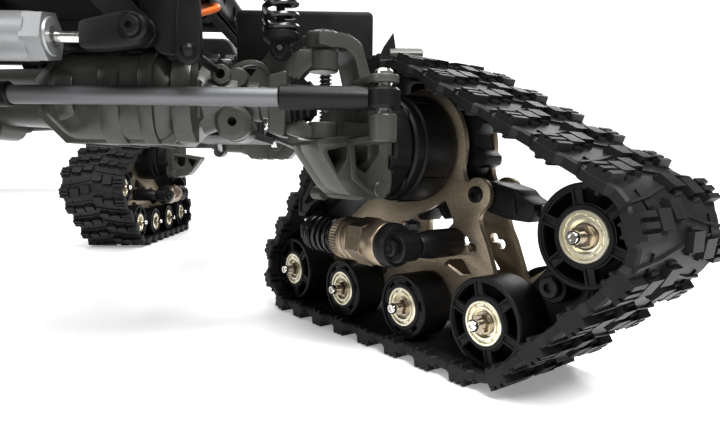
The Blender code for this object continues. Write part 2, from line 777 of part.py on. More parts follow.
def unit_pieces(front):
    """Name, mesh function result, finish and pivot (x, f, h) of each piece of a track unit."""
    hub = (0.0, 0.0, DRIVE_H)
    pieces = [("belt", belt(), "rubber", hub), ("sprocket", sprocket(), "black_plastic", hub)]
    if front:
        pieces.append(("inner_plate", inner_plate(), "bronze_plate", hub))
        pieces.append(("outer_plate", outer_plate(), "bronze_plate", hub))
        pieces.append(("hub_mount", hub_mount(), "black_plastic", hub))
    else:
        pieces.append(("side_frame", side_frame(), "bronze_plate", hub))
    for number, (f, h, radius) in enumerate(WHEELS, 1):
        pieces.append((f"wheel_{number}", wheel(f, h, radius), "black_plastic", (0.0, f, h)))
    pieces.append(("idler", wheel(*IDLER), "black_plastic", (0.0, *IDLER[:2])))
    pieces.append(("idler_arm", idler_arm(), "black_plastic", (0.0, *IDLER_PIVOT)))
    eye = (DAMPER_X, DAMPER_EYE, DAMPER_H)
    stud = (DAMPER_X, DAMPER_STUD, DAMPER_H)
    pieces.append(("damper_body", damper_body(), "bronze_damper", eye))
    pieces.append(("damper_rod", damper_rod(), "black_plastic", stud))
    return pieces


def add_corner(group, corner, side, pieces, parent, materials):
    for name, mesh, finish, (x, f, h) in pieces:
        shape = mesh if side > 0 else mirrored(mesh)
        add_part(group, f"{corner}_{name}", shape, materials[finish], parent, (side * x, -f, h))


def add_units(group, layout, materials):
    """The four track units, each on an empty on the ground under its drive axle."""
    corners = {}
    for end, y, steer in (("front", 0.0, STEER), ("rear", WHEELBASE, 0.0)):
        pieces = unit_pieces(end == "front")
        for word, side in (("left", 1), ("right", -1)):
            corner = f"{end}_{word}"
            corners[corner] = add_empty(group, f"{corner}_corner", layout, (side * HALF_TRACK, y, 0.0), steer)
            add_corner(group, corner, side, pieces, corners[corner], materials)
    return corners


def add_steering(group, layout, corners, materials):
    left = knuckle()
    for word, side in (("left", 1), ("right", -1)):
        shape = left if side > 0 else mirrored(left)
        corner = corners[f"front_{word}"]
        add_part(group, f"{word}_knuckle", shape, materials["grey_plastic"], corner, (0, 0, 0))
    lock = radians(STEER)
    ball = Vector((HALF_TRACK + ARM_F * sin(lock), -ARM_F * cos(lock), TIE_H))
    link = add_part(group, "tie_rod", tie_rod(), materials["satin_aluminium"], layout, (0, 0, 0))
    link.location = ball * MM


def add_chassis(group, layout, materials):
    hub = (0, 0, ROLL_H)
    add_part(group, "front_axle_housing", front_axle(), materials["grey_plastic"], layout, hub)
    add_part(group, "front_diff_cover", front_diff_cover(), materials["grey_plastic"], layout, hub)
    rear = add_part(group, "rear_axle_housing", rear_axle(), materials["grey_plastic"], layout, hub)
    rear.location.y = WHEELBASE * MM
    add_part(group, "ladder_frame", ladder_frame(), materials["black_plastic"], layout, (0, 0, 0))
    add_part(group, "gearbox", gearbox(), materials["black_plastic"], layout, (0, 0, 0))
    pieces = (("body", shock_body(), "satin_aluminium", 0.0),
              ("rod", shock_rod(), "black_plastic", SHOCK_EYE_Z))
    for word, side in (("left", 1), ("right", -1)):
        for kind, mesh, finish, z in pieces:
            part = add_part(group, f"{word}_shock_{kind}", mesh, materials[finish], layout, (0, 0, 0))
            part.location = Vector((side * SHOCK[0], SHOCK[1], z)) * MM


def main():
    clear_scene()
    group = new_collection("tracked_crawler_chassis")
    materials = {name: make_material(name) for name in COLOURS}
    layout = add_empty(group, "layout", None, (0.0, -MIDDLE_Y, 0.0))
    corners = add_units(group, layout, materials)
    add_steering(group, layout, corners, materials)
    add_chassis(group, layout, materials)


main()
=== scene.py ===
"""Looks of the tracked crawler chassis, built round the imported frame.

Shapes are drawn in millimetres in a corner frame like the CAD's: x runs outboard from
the kingpin, f forward, h up from the ground.  The front axle's own frame has x to the
vehicle's left and y backward.  corner_matrix() and FRONT_FRAME turn them into world metres.
"""
import bmesh
import bpy
from math import acos, asin, atan2, cos, degrees, hypot, pi, radians, sin
from mathutils import Matrix, Vector


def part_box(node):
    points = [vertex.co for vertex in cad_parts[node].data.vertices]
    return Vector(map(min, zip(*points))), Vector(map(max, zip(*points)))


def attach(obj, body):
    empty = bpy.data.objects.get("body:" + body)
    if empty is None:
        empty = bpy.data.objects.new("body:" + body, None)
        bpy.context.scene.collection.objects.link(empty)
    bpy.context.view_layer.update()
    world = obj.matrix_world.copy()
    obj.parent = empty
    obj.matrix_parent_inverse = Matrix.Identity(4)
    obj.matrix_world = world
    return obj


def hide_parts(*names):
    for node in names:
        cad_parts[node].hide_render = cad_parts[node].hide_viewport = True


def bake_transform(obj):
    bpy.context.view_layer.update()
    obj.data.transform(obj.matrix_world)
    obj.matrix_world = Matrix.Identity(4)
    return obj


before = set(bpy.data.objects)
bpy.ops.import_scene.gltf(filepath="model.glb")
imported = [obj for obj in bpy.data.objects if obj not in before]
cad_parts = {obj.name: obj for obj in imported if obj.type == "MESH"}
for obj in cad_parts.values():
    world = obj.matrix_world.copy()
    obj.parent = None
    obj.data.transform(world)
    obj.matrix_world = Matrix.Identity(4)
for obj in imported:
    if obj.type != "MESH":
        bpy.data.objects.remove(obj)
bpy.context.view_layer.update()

MM = 0.001
STEER = 36.0
HALF_TRACK = 75.0
AXLE_H = 99.0
DRIVE_H = 83.0
DIFF_X = 14.0
CASE_X, CASE_H = 6.5, 98.0
LARGE_R = 16.0
SMALL_R = 13.2
WHEELS = [(-78.0, 22.0, LARGE_R), (-34.5, 19.2, SMALL_R), (7.5, 19.2, SMALL_R), (49.5, 22.0, LARGE_R)]
IDLER = (85.6, 55.8, 15.8)
PIVOT = (71.0, 37.5)
EAR = (31.3, 65.2)
LOWER_EAR = (-24.0, 29.5)
SLOT = ((25.9, 46.9), (29.7, 44.6))
DAMPER_X = 22.0
DAMPER_H = 46.0
EYE_F = 21.0
STUD_F = -43.5
SHOCK_X = 60.6
ARM_F = 35.0
TIE_ROD_H = 97.0
SHOCK_Y = 8.0
SHOCK_EYE_H = 116.0
SHOCK_TOP_H = 184.0
MOTOR_H = 140.0
WHEEL_NEAR, WHEEL_FAR = 33.6, 78.4
STUD_FACE, STUD_TIP = 33.4, 27.6
NEAR_PLATE, FAR_PLATE = (49.5, 52.0), (67.0, 69.5)
HOUSING_LEAD = 9.0
WHEELBASE = 366.0


def middle(node):
    """Middle of a CAD node's box, in metres."""
    low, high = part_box(node)
    return (low + high) / 2


FRONT_Y = middle("front_axle_housing").y - HOUSING_LEAD / 1000
REAR_Y = FRONT_Y + WHEELBASE / 1000
TOWER_Y = (-SHOCK_Y, WHEELBASE + SHOCK_Y)
SIDES = (("left", 1), ("right", -1))


# ------------------------------------------------------------------ materials

def node_material(name, colour, roughness, metallic=0.0, *, grain, bump, stretch=(1, 1, 1), tint=0.25,
                  rough_spread=0.12, specular=0.5, coat=0.0, speckle=0.0):
    """Principled surface whose colour, roughness and bump vary with noise in object space."""
    material = bpy.data.materials.new(name)
    material.use_nodes = True
    tree = material.node_tree
    shader = tree.nodes["Principled BSDF"]
    for socket, value in (("Metallic", metallic), ("Specular IOR Level", specular), ("Coat Weight", coat),
                          ("Coat Roughness", 0.3)):
        shader.inputs[socket].default_value = value
    place = tree.nodes.new("ShaderNodeTexCoord")
    scale = tree.nodes.new("ShaderNodeMapping")
    scale.inputs["Scale"].default_value = stretch
    tree.links.new(place.outputs["Object"], scale.inputs["Vector"])

    def noise(size, detail):
        node = tree.nodes.new("ShaderNodeTexNoise")
        node.inputs["Scale"].default_value = size
        node.inputs["Detail"].default_value = detail
        tree.links.new(scale.outputs["Vector"], node.inputs["Vector"])
        return node

    fine = noise(grain, 4.0)
    broad = noise(grain / 22, 3.0)
    ramp = tree.nodes.new("ShaderNodeValToRGB")
    for stop, position, way in zip(ramp.color_ramp.elements, (0.32, 0.68), (-1, 1)):
        stop.position = position
        stop.color = (*(min(1.0, c * (1 + way * tint)) for c in colour), 1)
    tree.links.new((fine if speckle else broad).outputs["Fac"], ramp.inputs["Fac"])
    tree.links.new(ramp.outputs["Color"], shader.inputs["Base Color"])
    rough = tree.nodes.new("ShaderNodeMapRange")
    rough.inputs["To Min"].default_value = max(0.02, roughness - rough_spread)
    rough.inputs["To Max"].default_value = min(1.0, roughness + rough_spread)
    tree.links.new(broad.outputs["Fac"], rough.inputs["Value"])
    tree.links.new(rough.outputs["Result"], shader.inputs["Roughness"])
    relief = tree.nodes.new("ShaderNodeBump")
    relief.inputs["Strength"].default_value = bump
    relief.inputs["Distance"].default_value = 0.0003
    tree.links.new(fine.outputs["Fac"], relief.inputs["Height"])
    tree.links.new(relief.outputs["Normal"], shader.inputs["Normal"])
    return material


RUBBER = node_material("belt_rubber", (0.0125, 0.0128, 0.0137), 0.5, grain=1400, bump=0.2, specular=0.24)
BLACK = node_material("black_nylon", (0.0065, 0.0065, 0.007), 0.42, grain=1700, bump=0.12, specular=0.26)
GLOSS = node_material("black_spring_coat", (0.008, 0.008, 0.009), 0.26, grain=700, bump=0.04, specular=0.5,
                      coat=0.15)
GREY = node_material("grey_nylon", (0.05, 0.051, 0.044), 0.31, grain=1500, bump=0.12, tint=0.16)
BRONZE = node_material("blasted_bronze", (0.4, 0.335, 0.25), 0.45, 0.8, grain=2600, bump=0.25, tint=0.35,
                       speckle=1.0)
TURNED = node_material("turned_bronze", (0.33, 0.27, 0.2), 0.36, 0.9, grain=1500, bump=0.08, tint=0.12,
                       stretch=(1, 8, 8))
STEEL = node_material("bright_steel", (0.74, 0.72, 0.68), 0.2, 1.0, grain=900, bump=0.006, tint=0.05,
                      rough_spread=0.03)
SHIELD = node_material("bearing_shield", (0.8, 0.76, 0.62), 0.3, 1.0, grain=900, bump=0.006, tint=0.05,
                       rough_spread=0.03)
SATIN = node_material("satin_aluminium", (0.15, 0.152, 0.156), 0.44, 0.6, grain=900, bump=0.03, tint=0.03,
                      stretch=(0.05, 1, 1), rough_spread=0.03)
DAMP_GREY = node_material("damper_aluminium", (0.3, 0.305, 0.31), 0.4, 0.6, grain=1500, bump=0.05, tint=0.05,
                          stretch=(0.1, 1, 1))
COPPER = node_material("nut_plating", (0.42, 0.36, 0.29), 0.2, 1.0, grain=900, bump=0.01, tint=0.1,
                       rough_spread=0.06)
ORANGE = node_material("orange_lead", (0.55, 0.13, 0.02), 0.4, grain=1200, bump=0.05, tint=0.1)
BLOCK_SOCKET = node_material("dark_screw", (0.028, 0.028, 0.03), 0.3, 0.8, grain=1500, bump=0.08)


SLOTS = {}
for slot_name, users in (
    ("rubber", (RUBBER,)),
    ("black_plastic", (BLACK, GLOSS)),
    ("grey_plastic", (GREY, ORANGE)),
    ("bronze_plate", (BRONZE,)),
    ("bronze_damper", (TURNED,)),
    ("satin_aluminium", (STEEL, SHIELD, SATIN, DAMP_GREY, COPPER, BLOCK_SOCKET)),
):
    for user in users:
        SLOTS[user.name] = slot_name


# ------------------------------------------------------------------ solid tools

def new_shape():
    return bmesh.new()


def drawn(draw):
    """Lets a function that draws into a shape be called for a fresh shape of its own."""
    def fresh(*args):
        shape = new_shape()
        draw(shape, *args)
        return shape
    return fresh


def spin_place(axis, centre, along, across, up):
    """A point at `along` the axis and (across, up) off it; centre gives the other two coordinates."""
    if axis == "X":
        return (along, centre[0] + across, centre[1] + up)
    if axis == "Y":
        return (centre[0] + across, along, centre[1] + up)
    return (centre[0] + across, centre[1] + up, along)


def bridge(shape, rings, closed=False, caps=False):
    """Faces between rings of vertices, one after another; a ring of one vertex is a point."""
    made = []
    for low, high in list(zip(rings, rings[1:] + rings[:1]))[:None if closed else -1]:
        count = max(len(low), len(high))
        for i in range(count):
            j = (i + 1) % count
            if len(low) == 1 and len(high) == 1:
                continue
            if len(low) == 1:
                made.append(shape.faces.new((low[0], high[j], high[i])))
            elif len(high) == 1:
                made.append(shape.faces.new((low[i], low[j], high[0])))
            else:
                made.append(shape.faces.new((low[i], low[j], high[j], high[i])))
    if caps:
        made += [shape.faces.new(rings[0]), shape.faces.new(rings[-1])]
    bmesh.ops.recalc_face_normals(shape, faces=made)


def lathe(shape, axis, centre, profile, sides, ring=False):
    """Turns a profile of (along, radius) about an axis; a ring's profile closes on itself."""
    rings = []
    turn = [2 * pi * i / sides for i in range(sides)]
    for along, radius in profile:
        if radius < 1e-6:
            rings.append([shape.verts.new(spin_place(axis, centre, along, 0, 0))])
        else:
            rings.append([shape.verts.new(spin_place(axis, centre, along, radius * cos(a),
                                                     radius * sin(a))) for a in turn])
    bridge(shape, rings, ring)


def turned(shape, axis, centre, profile, sides):
    """A solid of revolution: the profile with both its ends closed at the axis."""
    lathe(shape, axis, centre, [(profile[0][0], 0), *profile, (profile[-1][0], 0)], sides)


def cylinder(shape, axis, centre, start, end, radius, sides, edge):
    """A solid cylinder with chamfered ends."""
    low, high = min(start, end), max(start, end)
    turned(shape, axis, centre, [(low, radius - edge), (low + edge, radius), (high - edge, radius),
                                 (high, radius - edge)], sides)


def tube(shape, axis, centre, start, end, outer, inner, sides, edge):
    """A cylinder with a bore, its outer edges chamfered."""
    low, high = min(start, end), max(start, end)
    lathe(shape, axis, centre, [(low, inner), (low, outer - edge), (low + edge, outer), (high - edge, outer),
                                (high, outer - edge), (high, inner)], sides, ring=True)


def block(shape, low, high):
    """A box between two opposite corners."""
    corners = bmesh.ops.create_cube(shape, size=1.0)["verts"]
    bmesh.ops.scale(shape, vec=[b - a for a, b in zip(low, high)], verts=corners)
    bmesh.ops.translate(shape, vec=[(a + b) / 2 for a, b in zip(low, high)], verts=corners)


def prism(shape, loop, start, end, axis="X"):
    """An outline without holes, extruded; the outline is (f, h) for X, (x, h) for Y, (x, y) for Z."""
    def at(point, along):
        if axis == "X":
            return (along, -point[0], point[1])
        if axis == "Y":
            return (point[0], along, point[1])
        return (point[0], point[1], along)
    low = [shape.verts.new(at(point, start)) for point in loop]
    high = [shape.verts.new(at(point, end)) for point in loop]
    made = [shape.faces.new(low), shape.faces.new(high)]
    for i in range(len(loop)):
        j = (i + 1) % len(loop)
        made.append(shape.faces.new((low[i], low[j], high[j], high[i])))
    bmesh.ops.recalc_face_normals(shape, faces=made)


def hexagon(centre, across_flats, phase):
    reach = across_flats / 2 / cos(pi / 6)
    turn = [radians(phase + 60 * i) for i in range(6)]
    return [(centre[0] + reach * cos(a), centre[1] + reach * sin(a)) for a in turn]


def arc(centre, radius, start, end, steps):
    turn = [radians(start + (end - start) * i / steps) for i in range(steps + 1)]
    return [(centre[0] + radius * cos(a), centre[1] + radius * sin(a)) for a in turn]


def spots(centre, radius, count, phase):
    """Points spread evenly round a centre, the first at phase degrees."""
    turn = [radians(360 // count * i + phase) for i in range(count)]
    return [(centre[0] + radius * cos(a), centre[1] + radius * sin(a)) for a in turn]


def circle(centre, radius, sides=32):
    """A closed loop of evenly spaced points."""
    return arc(centre, radius, 0, 360 * (sides - 1) / sides, sides - 1)


def long_slot(x, y, radius):
    """A slot 10 mm between its ends' centres, along x."""
    return arc((x + 5, y), radius, -90, 90, 8) + arc((x - 5, y), radius, 90, 270, 8)


def box_loop(x0, y0, x1, y1):
    """A rectangle's corners, from the low one round to (x0, y1)."""
    return [(x0, y0), (x1, y0), (x1, y1), (x0, y1)]


def rounded(points, radius, steps=4):
    """An outline with each corner rounded by a quadratic curve."""
    result = []
    for i, point in enumerate(points):
        here = Vector(point)
        back = Vector(points[i - 1])
        ahead = Vector(points[(i + 1) % len(points)])
        cut_in = min(radius, (back - here).length * 0.45)
        cut_out = min(radius, (ahead - here).length * 0.45)
        first = here + (back - here).normalized() * cut_in
        last = here + (ahead - here).normalized() * cut_out
        for step in range(steps + 1):
            t = step / steps
            result.append(tuple(first * (1 - t) ** 2 + here * 2 * t * (1 - t) + last * t ** 2))
    return result


def add_spline(curve, points, closed=False):
    spline = curve.splines.new("POLY")
    spline.points.add(len(points) - 1)
    for spline_point, point in zip(spline.points, points):
        spline_point.co = (*point, 1.0)
    spline.use_cyclic_u = closed


def curve_mesh(curve):
    """The mesh of a curve, which is not kept in the scene."""
    item = bpy.data.objects.new(curve.name, curve)
    bpy.context.scene.collection.objects.link(item)
    bpy.context.view_layer.update()
    mesh = bpy.data.meshes.new_from_object(item.evaluated_get(bpy.context.evaluated_depsgraph_get()))
    bpy.data.objects.remove(item)
    return mesh


def sheet(shape, loops, start, end, bevel, axis="X"):
    """A flat outline with holes, extruded with rounded edges, from start to end along the axis."""
    curve = bpy.data.curves.new("outline", "CURVE")
    curve.dimensions = "2D"
    curve.fill_mode = "BOTH"
    curve.extrude = abs(end - start) / 2 - bevel
    curve.bevel_depth = bevel
    curve.bevel_resolution = 1
    curve.offset = -bevel
    for loop in loops:
        add_spline(curve, [(a, b, 0.0) for a, b in loop], True)
    mesh = curve_mesh(curve)
    turn = {"X": Matrix(((0, 0, -1, 0), (-1, 0, 0, 0), (0, 1, 0, 0), (0, 0, 0, 1))),
            "Y": Matrix(((1, 0, 0, 0), (0, 0, -1, 0), (0, 1, 0, 0), (0, 0, 0, 1))),
            "Z": Matrix.Identity(4)}[axis]
    mesh.transform(turn)
    shift = {"X": ((start + end) / 2, 0, 0), "Y": (0, (start + end) / 2, 0),
             "Z": (0, 0, (start + end) / 2)}[axis]
    mesh.transform(Matrix.Translation(shift))
    before = len(shape.verts)
    shape.from_mesh(mesh)
    shape.verts.ensure_lookup_table()
    fresh = shape.verts[before:]
    bmesh.ops.remove_doubles(shape, verts=fresh, dist=0.002)
    bpy.data.meshes.remove(mesh)


def slab(shape, points, corner, start, end, bevel, axis="X"):
    """A sheet of one outline; corner is the radius of its rounded corners and their number of steps."""
    sheet(shape, [rounded(points, *corner)], start, end, bevel, axis)


def socket_screw(shape, axis, centre, face, outward, radius, height, hex_flats):
    """A button-head screw on a face; outward is the sign of its direction along the axis."""
    depth = min(height * 0.6, 1.2)
    top = face + outward * height
    floor = top - outward * depth
    r = hex_flats / 2
    lathe(shape, axis, centre, [(face - outward * 0.5, 0), (face - outward * 0.5, radius),
                                (top - outward * 0.6, radius), (top, radius - 0.6), (top, r), (floor, r),
                                (floor, 0)], 24)


def wire(name, points, radius):
    """A round wire along a line of points."""
    curve = bpy.data.curves.new(name, "CURVE")
    curve.dimensions = "3D"
    curve.bevel_depth = radius
    curve.bevel_resolution = 2
    curve.use_fill_caps = True
    add_spline(curve, points)
    mesh = curve_mesh(curve)
    shape = new_shape()
    shape.from_mesh(mesh)
    bmesh.ops.remove_doubles(shape, verts=shape.verts, dist=0.001)
    bpy.data.meshes.remove(mesh)
    return shape


COIL_STEPS = 20
CLOSED_TURN = 0.75


def coil_points(axis, centre, start, end, radius, turns):
    """A spring's centre line, with closed end turns."""
    points = []
    total = int(turns * COIL_STEPS)
    for i in range(total + 1):
        t = i / total
        spread = min(max((t * turns - CLOSED_TURN) / (turns - 2 * CLOSED_TURN), 0.0), 1.0)
        angle = 2 * pi * t * turns
        points.append(spin_place(axis, centre, start + (end - start) * spread, radius * cos(angle),
                                 radius * sin(angle)))
    return points


# ------------------------------------------------------------------ placing

def corner_matrix(side, y, steer):
    """From a corner's millimetres to world metres; the right side is mirrored."""
    return (Matrix.Translation((side * HALF_TRACK * MM, y, 0)) @ Matrix.Rotation(radians(steer), 4, "Z")
            @ Matrix.Diagonal((side * MM, MM, MM, 1)))


CORNERS = {"front_left": (1, FRONT_Y, STEER), "front_right": (-1, FRONT_Y, STEER),
           "rear_left": (1, REAR_Y, 0.0), "rear_right": (-1, REAR_Y, 0.0)}
FRONT_FRAME = Matrix.Translation((0, FRONT_Y, 0)) @ Matrix.Diagonal((MM, MM, MM, 1))
REAR_FRAME = Matrix.Translation((0, REAR_Y, 0)) @ Matrix.Diagonal((MM, MM, MM, 1))


def piece(name, shape, material, body, matrix, replaced=(), bevel=0.0, angle=40.0, slot=None):
    """A finished piece from a shape in millimetres; its slot is looked up from its material unless one is
    given, and is then not used.
    """
    mesh = bpy.data.meshes.new(name)
    shape.to_mesh(mesh)
    mesh.transform(matrix)
    if matrix.determinant() < 0:
        mesh.flip_normals()
    mesh.materials.append(material)
    mesh.shade_smooth()
    mesh.set_sharp_from_angle(angle=radians(angle))
    item = bpy.data.objects.new(name, mesh)
    bpy.context.scene.collection.objects.link(item)
    if bevel:
        soft = item.modifiers.new("edges", "BEVEL")
        soft.width = bevel * MM
        soft.segments = 2
        soft.limit_method = "ANGLE"
        soft.angle_limit = radians(angle)
        soft.harden_normals = False
    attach(item, body)
    slot = slot or SLOTS[material.name]
    if replaced:
        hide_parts(*replaced)
    return item


def stretched(name, shape, material, first, second, matrix, start, end, slot=None):
    """A piece built on the first body, then left unparented where it was placed; the second body is not
    used.
    """
    item = piece(name, shape, material, first, matrix, slot=slot)
    item.parent = None
    item.matrix_world = Matrix.Identity(4)
    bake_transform(item)


# ------------------------------------------------------------------ belt

BELT_INNER_R = 16.4
BELT_DRIVE_R = 31.9
CARCASS = 2.6
LUG = 2.68
LUG_COUNT = 28
BELT_NEAR = 27.0
BELT_FAR = 79.0


def belt_segments():
    """The belt's arcs and straights: (f, h, radius, start angle, end angle, length along its outer face)."""
    rounds = [(*WHEELS[0][:2], BELT_INNER_R), (*WHEELS[3][:2], BELT_INNER_R), (*IDLER[:2], BELT_INNER_R),
              (0.0, DRIVE_H, BELT_DRIVE_R)]
    normals = []
    for (f0, h0, r0), (f1, h1, r1) in zip(rounds, rounds[1:] + rounds[:1]):
        heading = degrees(atan2(h1 - h0, f1 - f0))
        normals.append(heading - degrees(acos((r0 - r1) / hypot(f1 - f0, h1 - h0))))
    segments = []
    for i, (f, h, radius) in enumerate(rounds):
        start, end = normals[i - 1], normals[i]
        while end < start:
            end += 360
        while end - start > 360:
            end -= 360
        f1, h1, r1 = rounds[(i + 1) % 4]
        run = (hypot(f1 - f, h1 - h) ** 2 - (radius - r1) ** 2) ** 0.5
        segments.append((f, h, radius, start, end, radians(end - start) * (radius + CARCASS)))
        segments.append((f, h, radius, end, end, run))
    return segments


SEGMENTS = belt_segments()
BELT_LENGTH = sum(segment[5] for segment in SEGMENTS)
PITCH = BELT_LENGTH / LUG_COUNT


def on_belt(distance, offset):
    """(f, h) at a distance along the belt's outer face, moved out from its inner face by offset."""
    distance %= BELT_LENGTH
    for f, h, radius, start, end, length in SEGMENTS:
        if distance <= length:
            break
        distance -= length
    on_arc = end != start
    angle = radians(start) + (distance / (radius + CARCASS) if on_arc else 0.0)
    along = 0.0 if on_arc else distance
    out = (cos(angle), sin(angle))
    reach = radius + offset
    return (f + out[0] * reach - out[1] * along, h + out[1] * reach + out[0] * along)


def box_faces(shape, corners):
    """Six faces on eight corners, given level by level."""
    order = [(0, 1, 3, 2), (4, 5, 7, 6), (0, 1, 5, 4), (2, 3, 7, 6), (0, 2, 6, 4), (1, 3, 7, 5)]
    faces = [shape.faces.new([corners[i] for i in face]) for face in order]
    bmesh.ops.recalc_face_normals(shape, faces=faces)
    return faces


def belt_block(shape, x, distance, offset, taper, pocket=0.0):
    """A tread block: x, distance and offset are (from, to) spans; its top is smaller by taper."""
    corners = []
    for level, off in enumerate(offset):
        inset = taper * level
        for d, sign_d in ((distance[0], 1), (distance[1], -1)):
            for px, sign_x in ((x[0], 1), (x[1], -1)):
                f, h = on_belt(d + sign_d * inset, off)
                corners.append(shape.verts.new((px + sign_x * inset * 0.6, -f, h)))
    faces = box_faces(shape, corners)
    for face in faces[2:4] if pocket else ():
        bmesh.ops.inset_individual(shape, faces=[face], thickness=0.55)
        bmesh.ops.translate(shape, vec=-face.normal * pocket, verts=face.verts)


def belt_bar(shape, start, end, width, offset):
    """A thin raised rib between two (x, distance) points."""
    corners = []
    for off in offset:
        for x, d in (start, end):
            for way in (-0.5, 0.5):
                f, h = on_belt(d + way * width * (0.6 if off == offset[1] else 1.0), off)
                corners.append(shape.verts.new((x, -f, h)))
    box_faces(shape, corners)


def belt_carcass(shape):
    """The band itself, with scalloped edges."""
    steps = LUG_COUNT * 10
    rings = []
    for i in range(steps):
        distance = BELT_LENGTH * i / steps
        cuts = [1.5 if 0.55 < (distance / PITCH + shift) % 1.0 < 0.96 else 0.0 for shift in (0.0, 0.5)]
        near, far = BELT_NEAR + cuts[0], BELT_FAR - cuts[1]
        section = [(near, -0.4), (near + 0.6, -1.0), (near + 1.6, -1.0), (near + 2.0, 0.0), (far - 2.0, 0.0),
                   (far - 1.6, -1.0), (far - 0.6, -1.0), (far, -0.4), (far, 2.1), (far - 0.8, CARCASS + 0.3),
                   (far - 2.4, CARCASS), (near + 2.4, CARCASS), (near + 0.8, CARCASS + 0.3), (near, 2.1)]
        placed = [(x, on_belt(distance, off)) for x, off in section]
        rings.append([shape.verts.new((x, -f, h)) for x, (f, h) in placed])
    bridge(shape, rings, closed=True)


def belt_row(shape, centre, side, start):
    """One chevron row on one half of the belt, with its edge fins, ribs and guide tabs."""
    top = CARCASS + LUG

    def across(first, last):
        return sorted((centre + side * first, centre + side * last))

    belt_block(shape, across(18.4, 25.9), (start + 0.5, start + 8.1), (CARCASS - 0.4, CARCASS + 1.5), 0.2)
    for fin in range(3):
        span = (start + 0.6 + fin * 2.7, start + 2.5 + fin * 2.7)
        belt_block(shape, across(18.4, 25.9), span, (CARCASS + 0.4, top), 0.2)
    for inner, outer, shift in ((9.6, 17.2, 2.2), (1.0, 8.5, 4.6)):
        span = (start + shift, start + shift + 6.2)
        belt_block(shape, across(inner, outer), span, (CARCASS - 0.4, top), 0.4, pocket=1.0)
        span = (start + shift - 1.1, start + shift + 7.3)
        belt_block(shape, across(inner + 1.6, outer - 1.6), span, (CARCASS - 0.4, CARCASS + 1.2), 0.3)
    for (x0, d0), (x1, d1), width, rise in (((24.8, 10.9), (12.8, 12.6), 1.3, 0.9),
                                            ((12.8, 12.6), (0.6, 15.6), 1.3, 0.9),
                                            ((17.4, 8.3), (17.4, 14.6), 0.9, 0.7)):
        belt_bar(shape, (centre + side * x0, start + d0), (centre + side * x1, start + d1), width,
                 (CARCASS - 0.3, CARCASS + rise))
    for d in (1.0, 5.2):
        belt_block(shape, across(25.7, 20.3), (start + d, start + d + 1.6), (0.4, -2.2), 0.25)
    belt_block(shape, across(25.95, 24.3), (start + 0.9, start + 6.9), (CARCASS + 1.6, -1.2), 0.1)


@drawn
def belt_shape(shape):
    belt_carcass(shape)
    centre = (BELT_NEAR + BELT_FAR) / 2
    for i in range(LUG_COUNT):
        for side in (-1, 1):
            belt_row(shape, centre, side, i * PITCH + (PITCH / 2 if side > 0 else 0.0))


# ------------------------------------------------------------------ wheels

BEARING_SEAT = 8.05


def sector(inner, outer, middle_angle, half, centre):
    """A window between two radii, with straight sides; half is its half width in mm at the sides."""
    points = []
    for radius, way in ((outer, 1), (inner, -1)):
        spread = degrees(radians(30) - asin(half / radius))
        points += arc(centre, radius, middle_angle - way * spread, middle_angle + way * spread, 6)
    return rounded(points, 0.5, 2)


def roller(shape, f, h, radius, near, far, spoked):
    """A wheel roller whose open face is at near; far is the closed end."""
    way = 1 if far > near else -1
    face = near + way * 2.6
    rim_in = radius - 1.9
    holes = [circle((f, h), BEARING_SEAT)]
    inner, outer, half = (9.9, rim_in - 0.1, 1.7) if spoked else (9.7, rim_in - 0.3, 3.6)
    holes += [sector(inner, outer, 60 * i + 12, half, (f, h)) for i in range(6)]
    sheet(shape, [circle((f, h), radius - 0.9, 48)] + holes, *sorted((near + way * 0.5, face)), 0.2)
    centre = (-f, h)
    tube(shape, "X", centre, near, far, radius, radius - 1.5, 56, 0.45)
    tube(shape, "X", centre, near - way * 0.05, near + way * 4.6, 9.5, 8.0, 48, 0.3)
    lathe(shape, "X", centre, [(far - way * 3.0, 4.2), (far - way * 3.0, radius - 1.0),
                               (far - way * 0.8, radius - 1.0), (far - way * 0.8, 4.2)], 40, ring=True)
    for i in range(6 if spoked else 0):
        angle = radians(60 * i + 42)
        out = Vector((cos(angle), sin(angle)))
        side = Vector((-out.y, out.x))
        for shift in (-1.35, 1.35):
            low, high = out * 9.2 + side * shift, out * (radius - 1.3) + side * shift
            loop = [low + side * 0.35, high + side * 0.35, high - side * 0.35, low - side * 0.35]
            prism(shape, [(f + p.x, h + p.y) for p in loop], near + way * 0.1, near + way * 0.9)


def bearing(shape, f, h, face, way):
    """Shielded ball bearing, 16 mm across; way points into the wheel."""
    centre = (-f, h)
    step = face - way * 0.25
    section = [(5, 2.4), (5, 8.0), (0.3, 8.0), (0, 7.7), (0, 6.95), (0.2, 6.8), (0.75, 6.7), (0.75, 5.95),
               (0.2, 5.85), (0.2, 5.1), (1.9, 4.95), (1.7, 3.5), (0.5, 3.35), (0.5, 2.4)]
    lathe(shape, "X", centre, [(step + way * depth, r) for depth, r in section], 56, ring=True)
    for i in range(10):
        angle = 2 * pi * (i + 0.5) / 10
        spot = (centre[0] + 6.3 * cos(angle), centre[1] + 6.3 * sin(angle))
        tube(shape, "X", spot, step + way * 0.3, step + way * 0.8, 0.34, 0.15, 8, 0.05)


def stud_and_nut(stud, nut, f, h, face, tip):
    """Ring-ended stud, and the nut with its washer, on the near end of an axle."""
    centre = (-f, h)
    cylinder(nut, "X", centre, face + 0.9, face + 1.9, 4.1, 32, 0.15)
    prism(nut, hexagon((f, h), 5.8, 12), face - 1.9, face + 0.9)
    lathe(stud, "X", centre, [(face + 0.1, 0), (face + 0.1, 1.7), (tip + 2.2, 1.7), (tip + 1.8, 2.1),
                              (tip + 0.5, 2.1), (tip, 1.7), (tip, 1.1), (tip + 0.5, 1.0), (tip + 0.5, 0.0)],
          32)


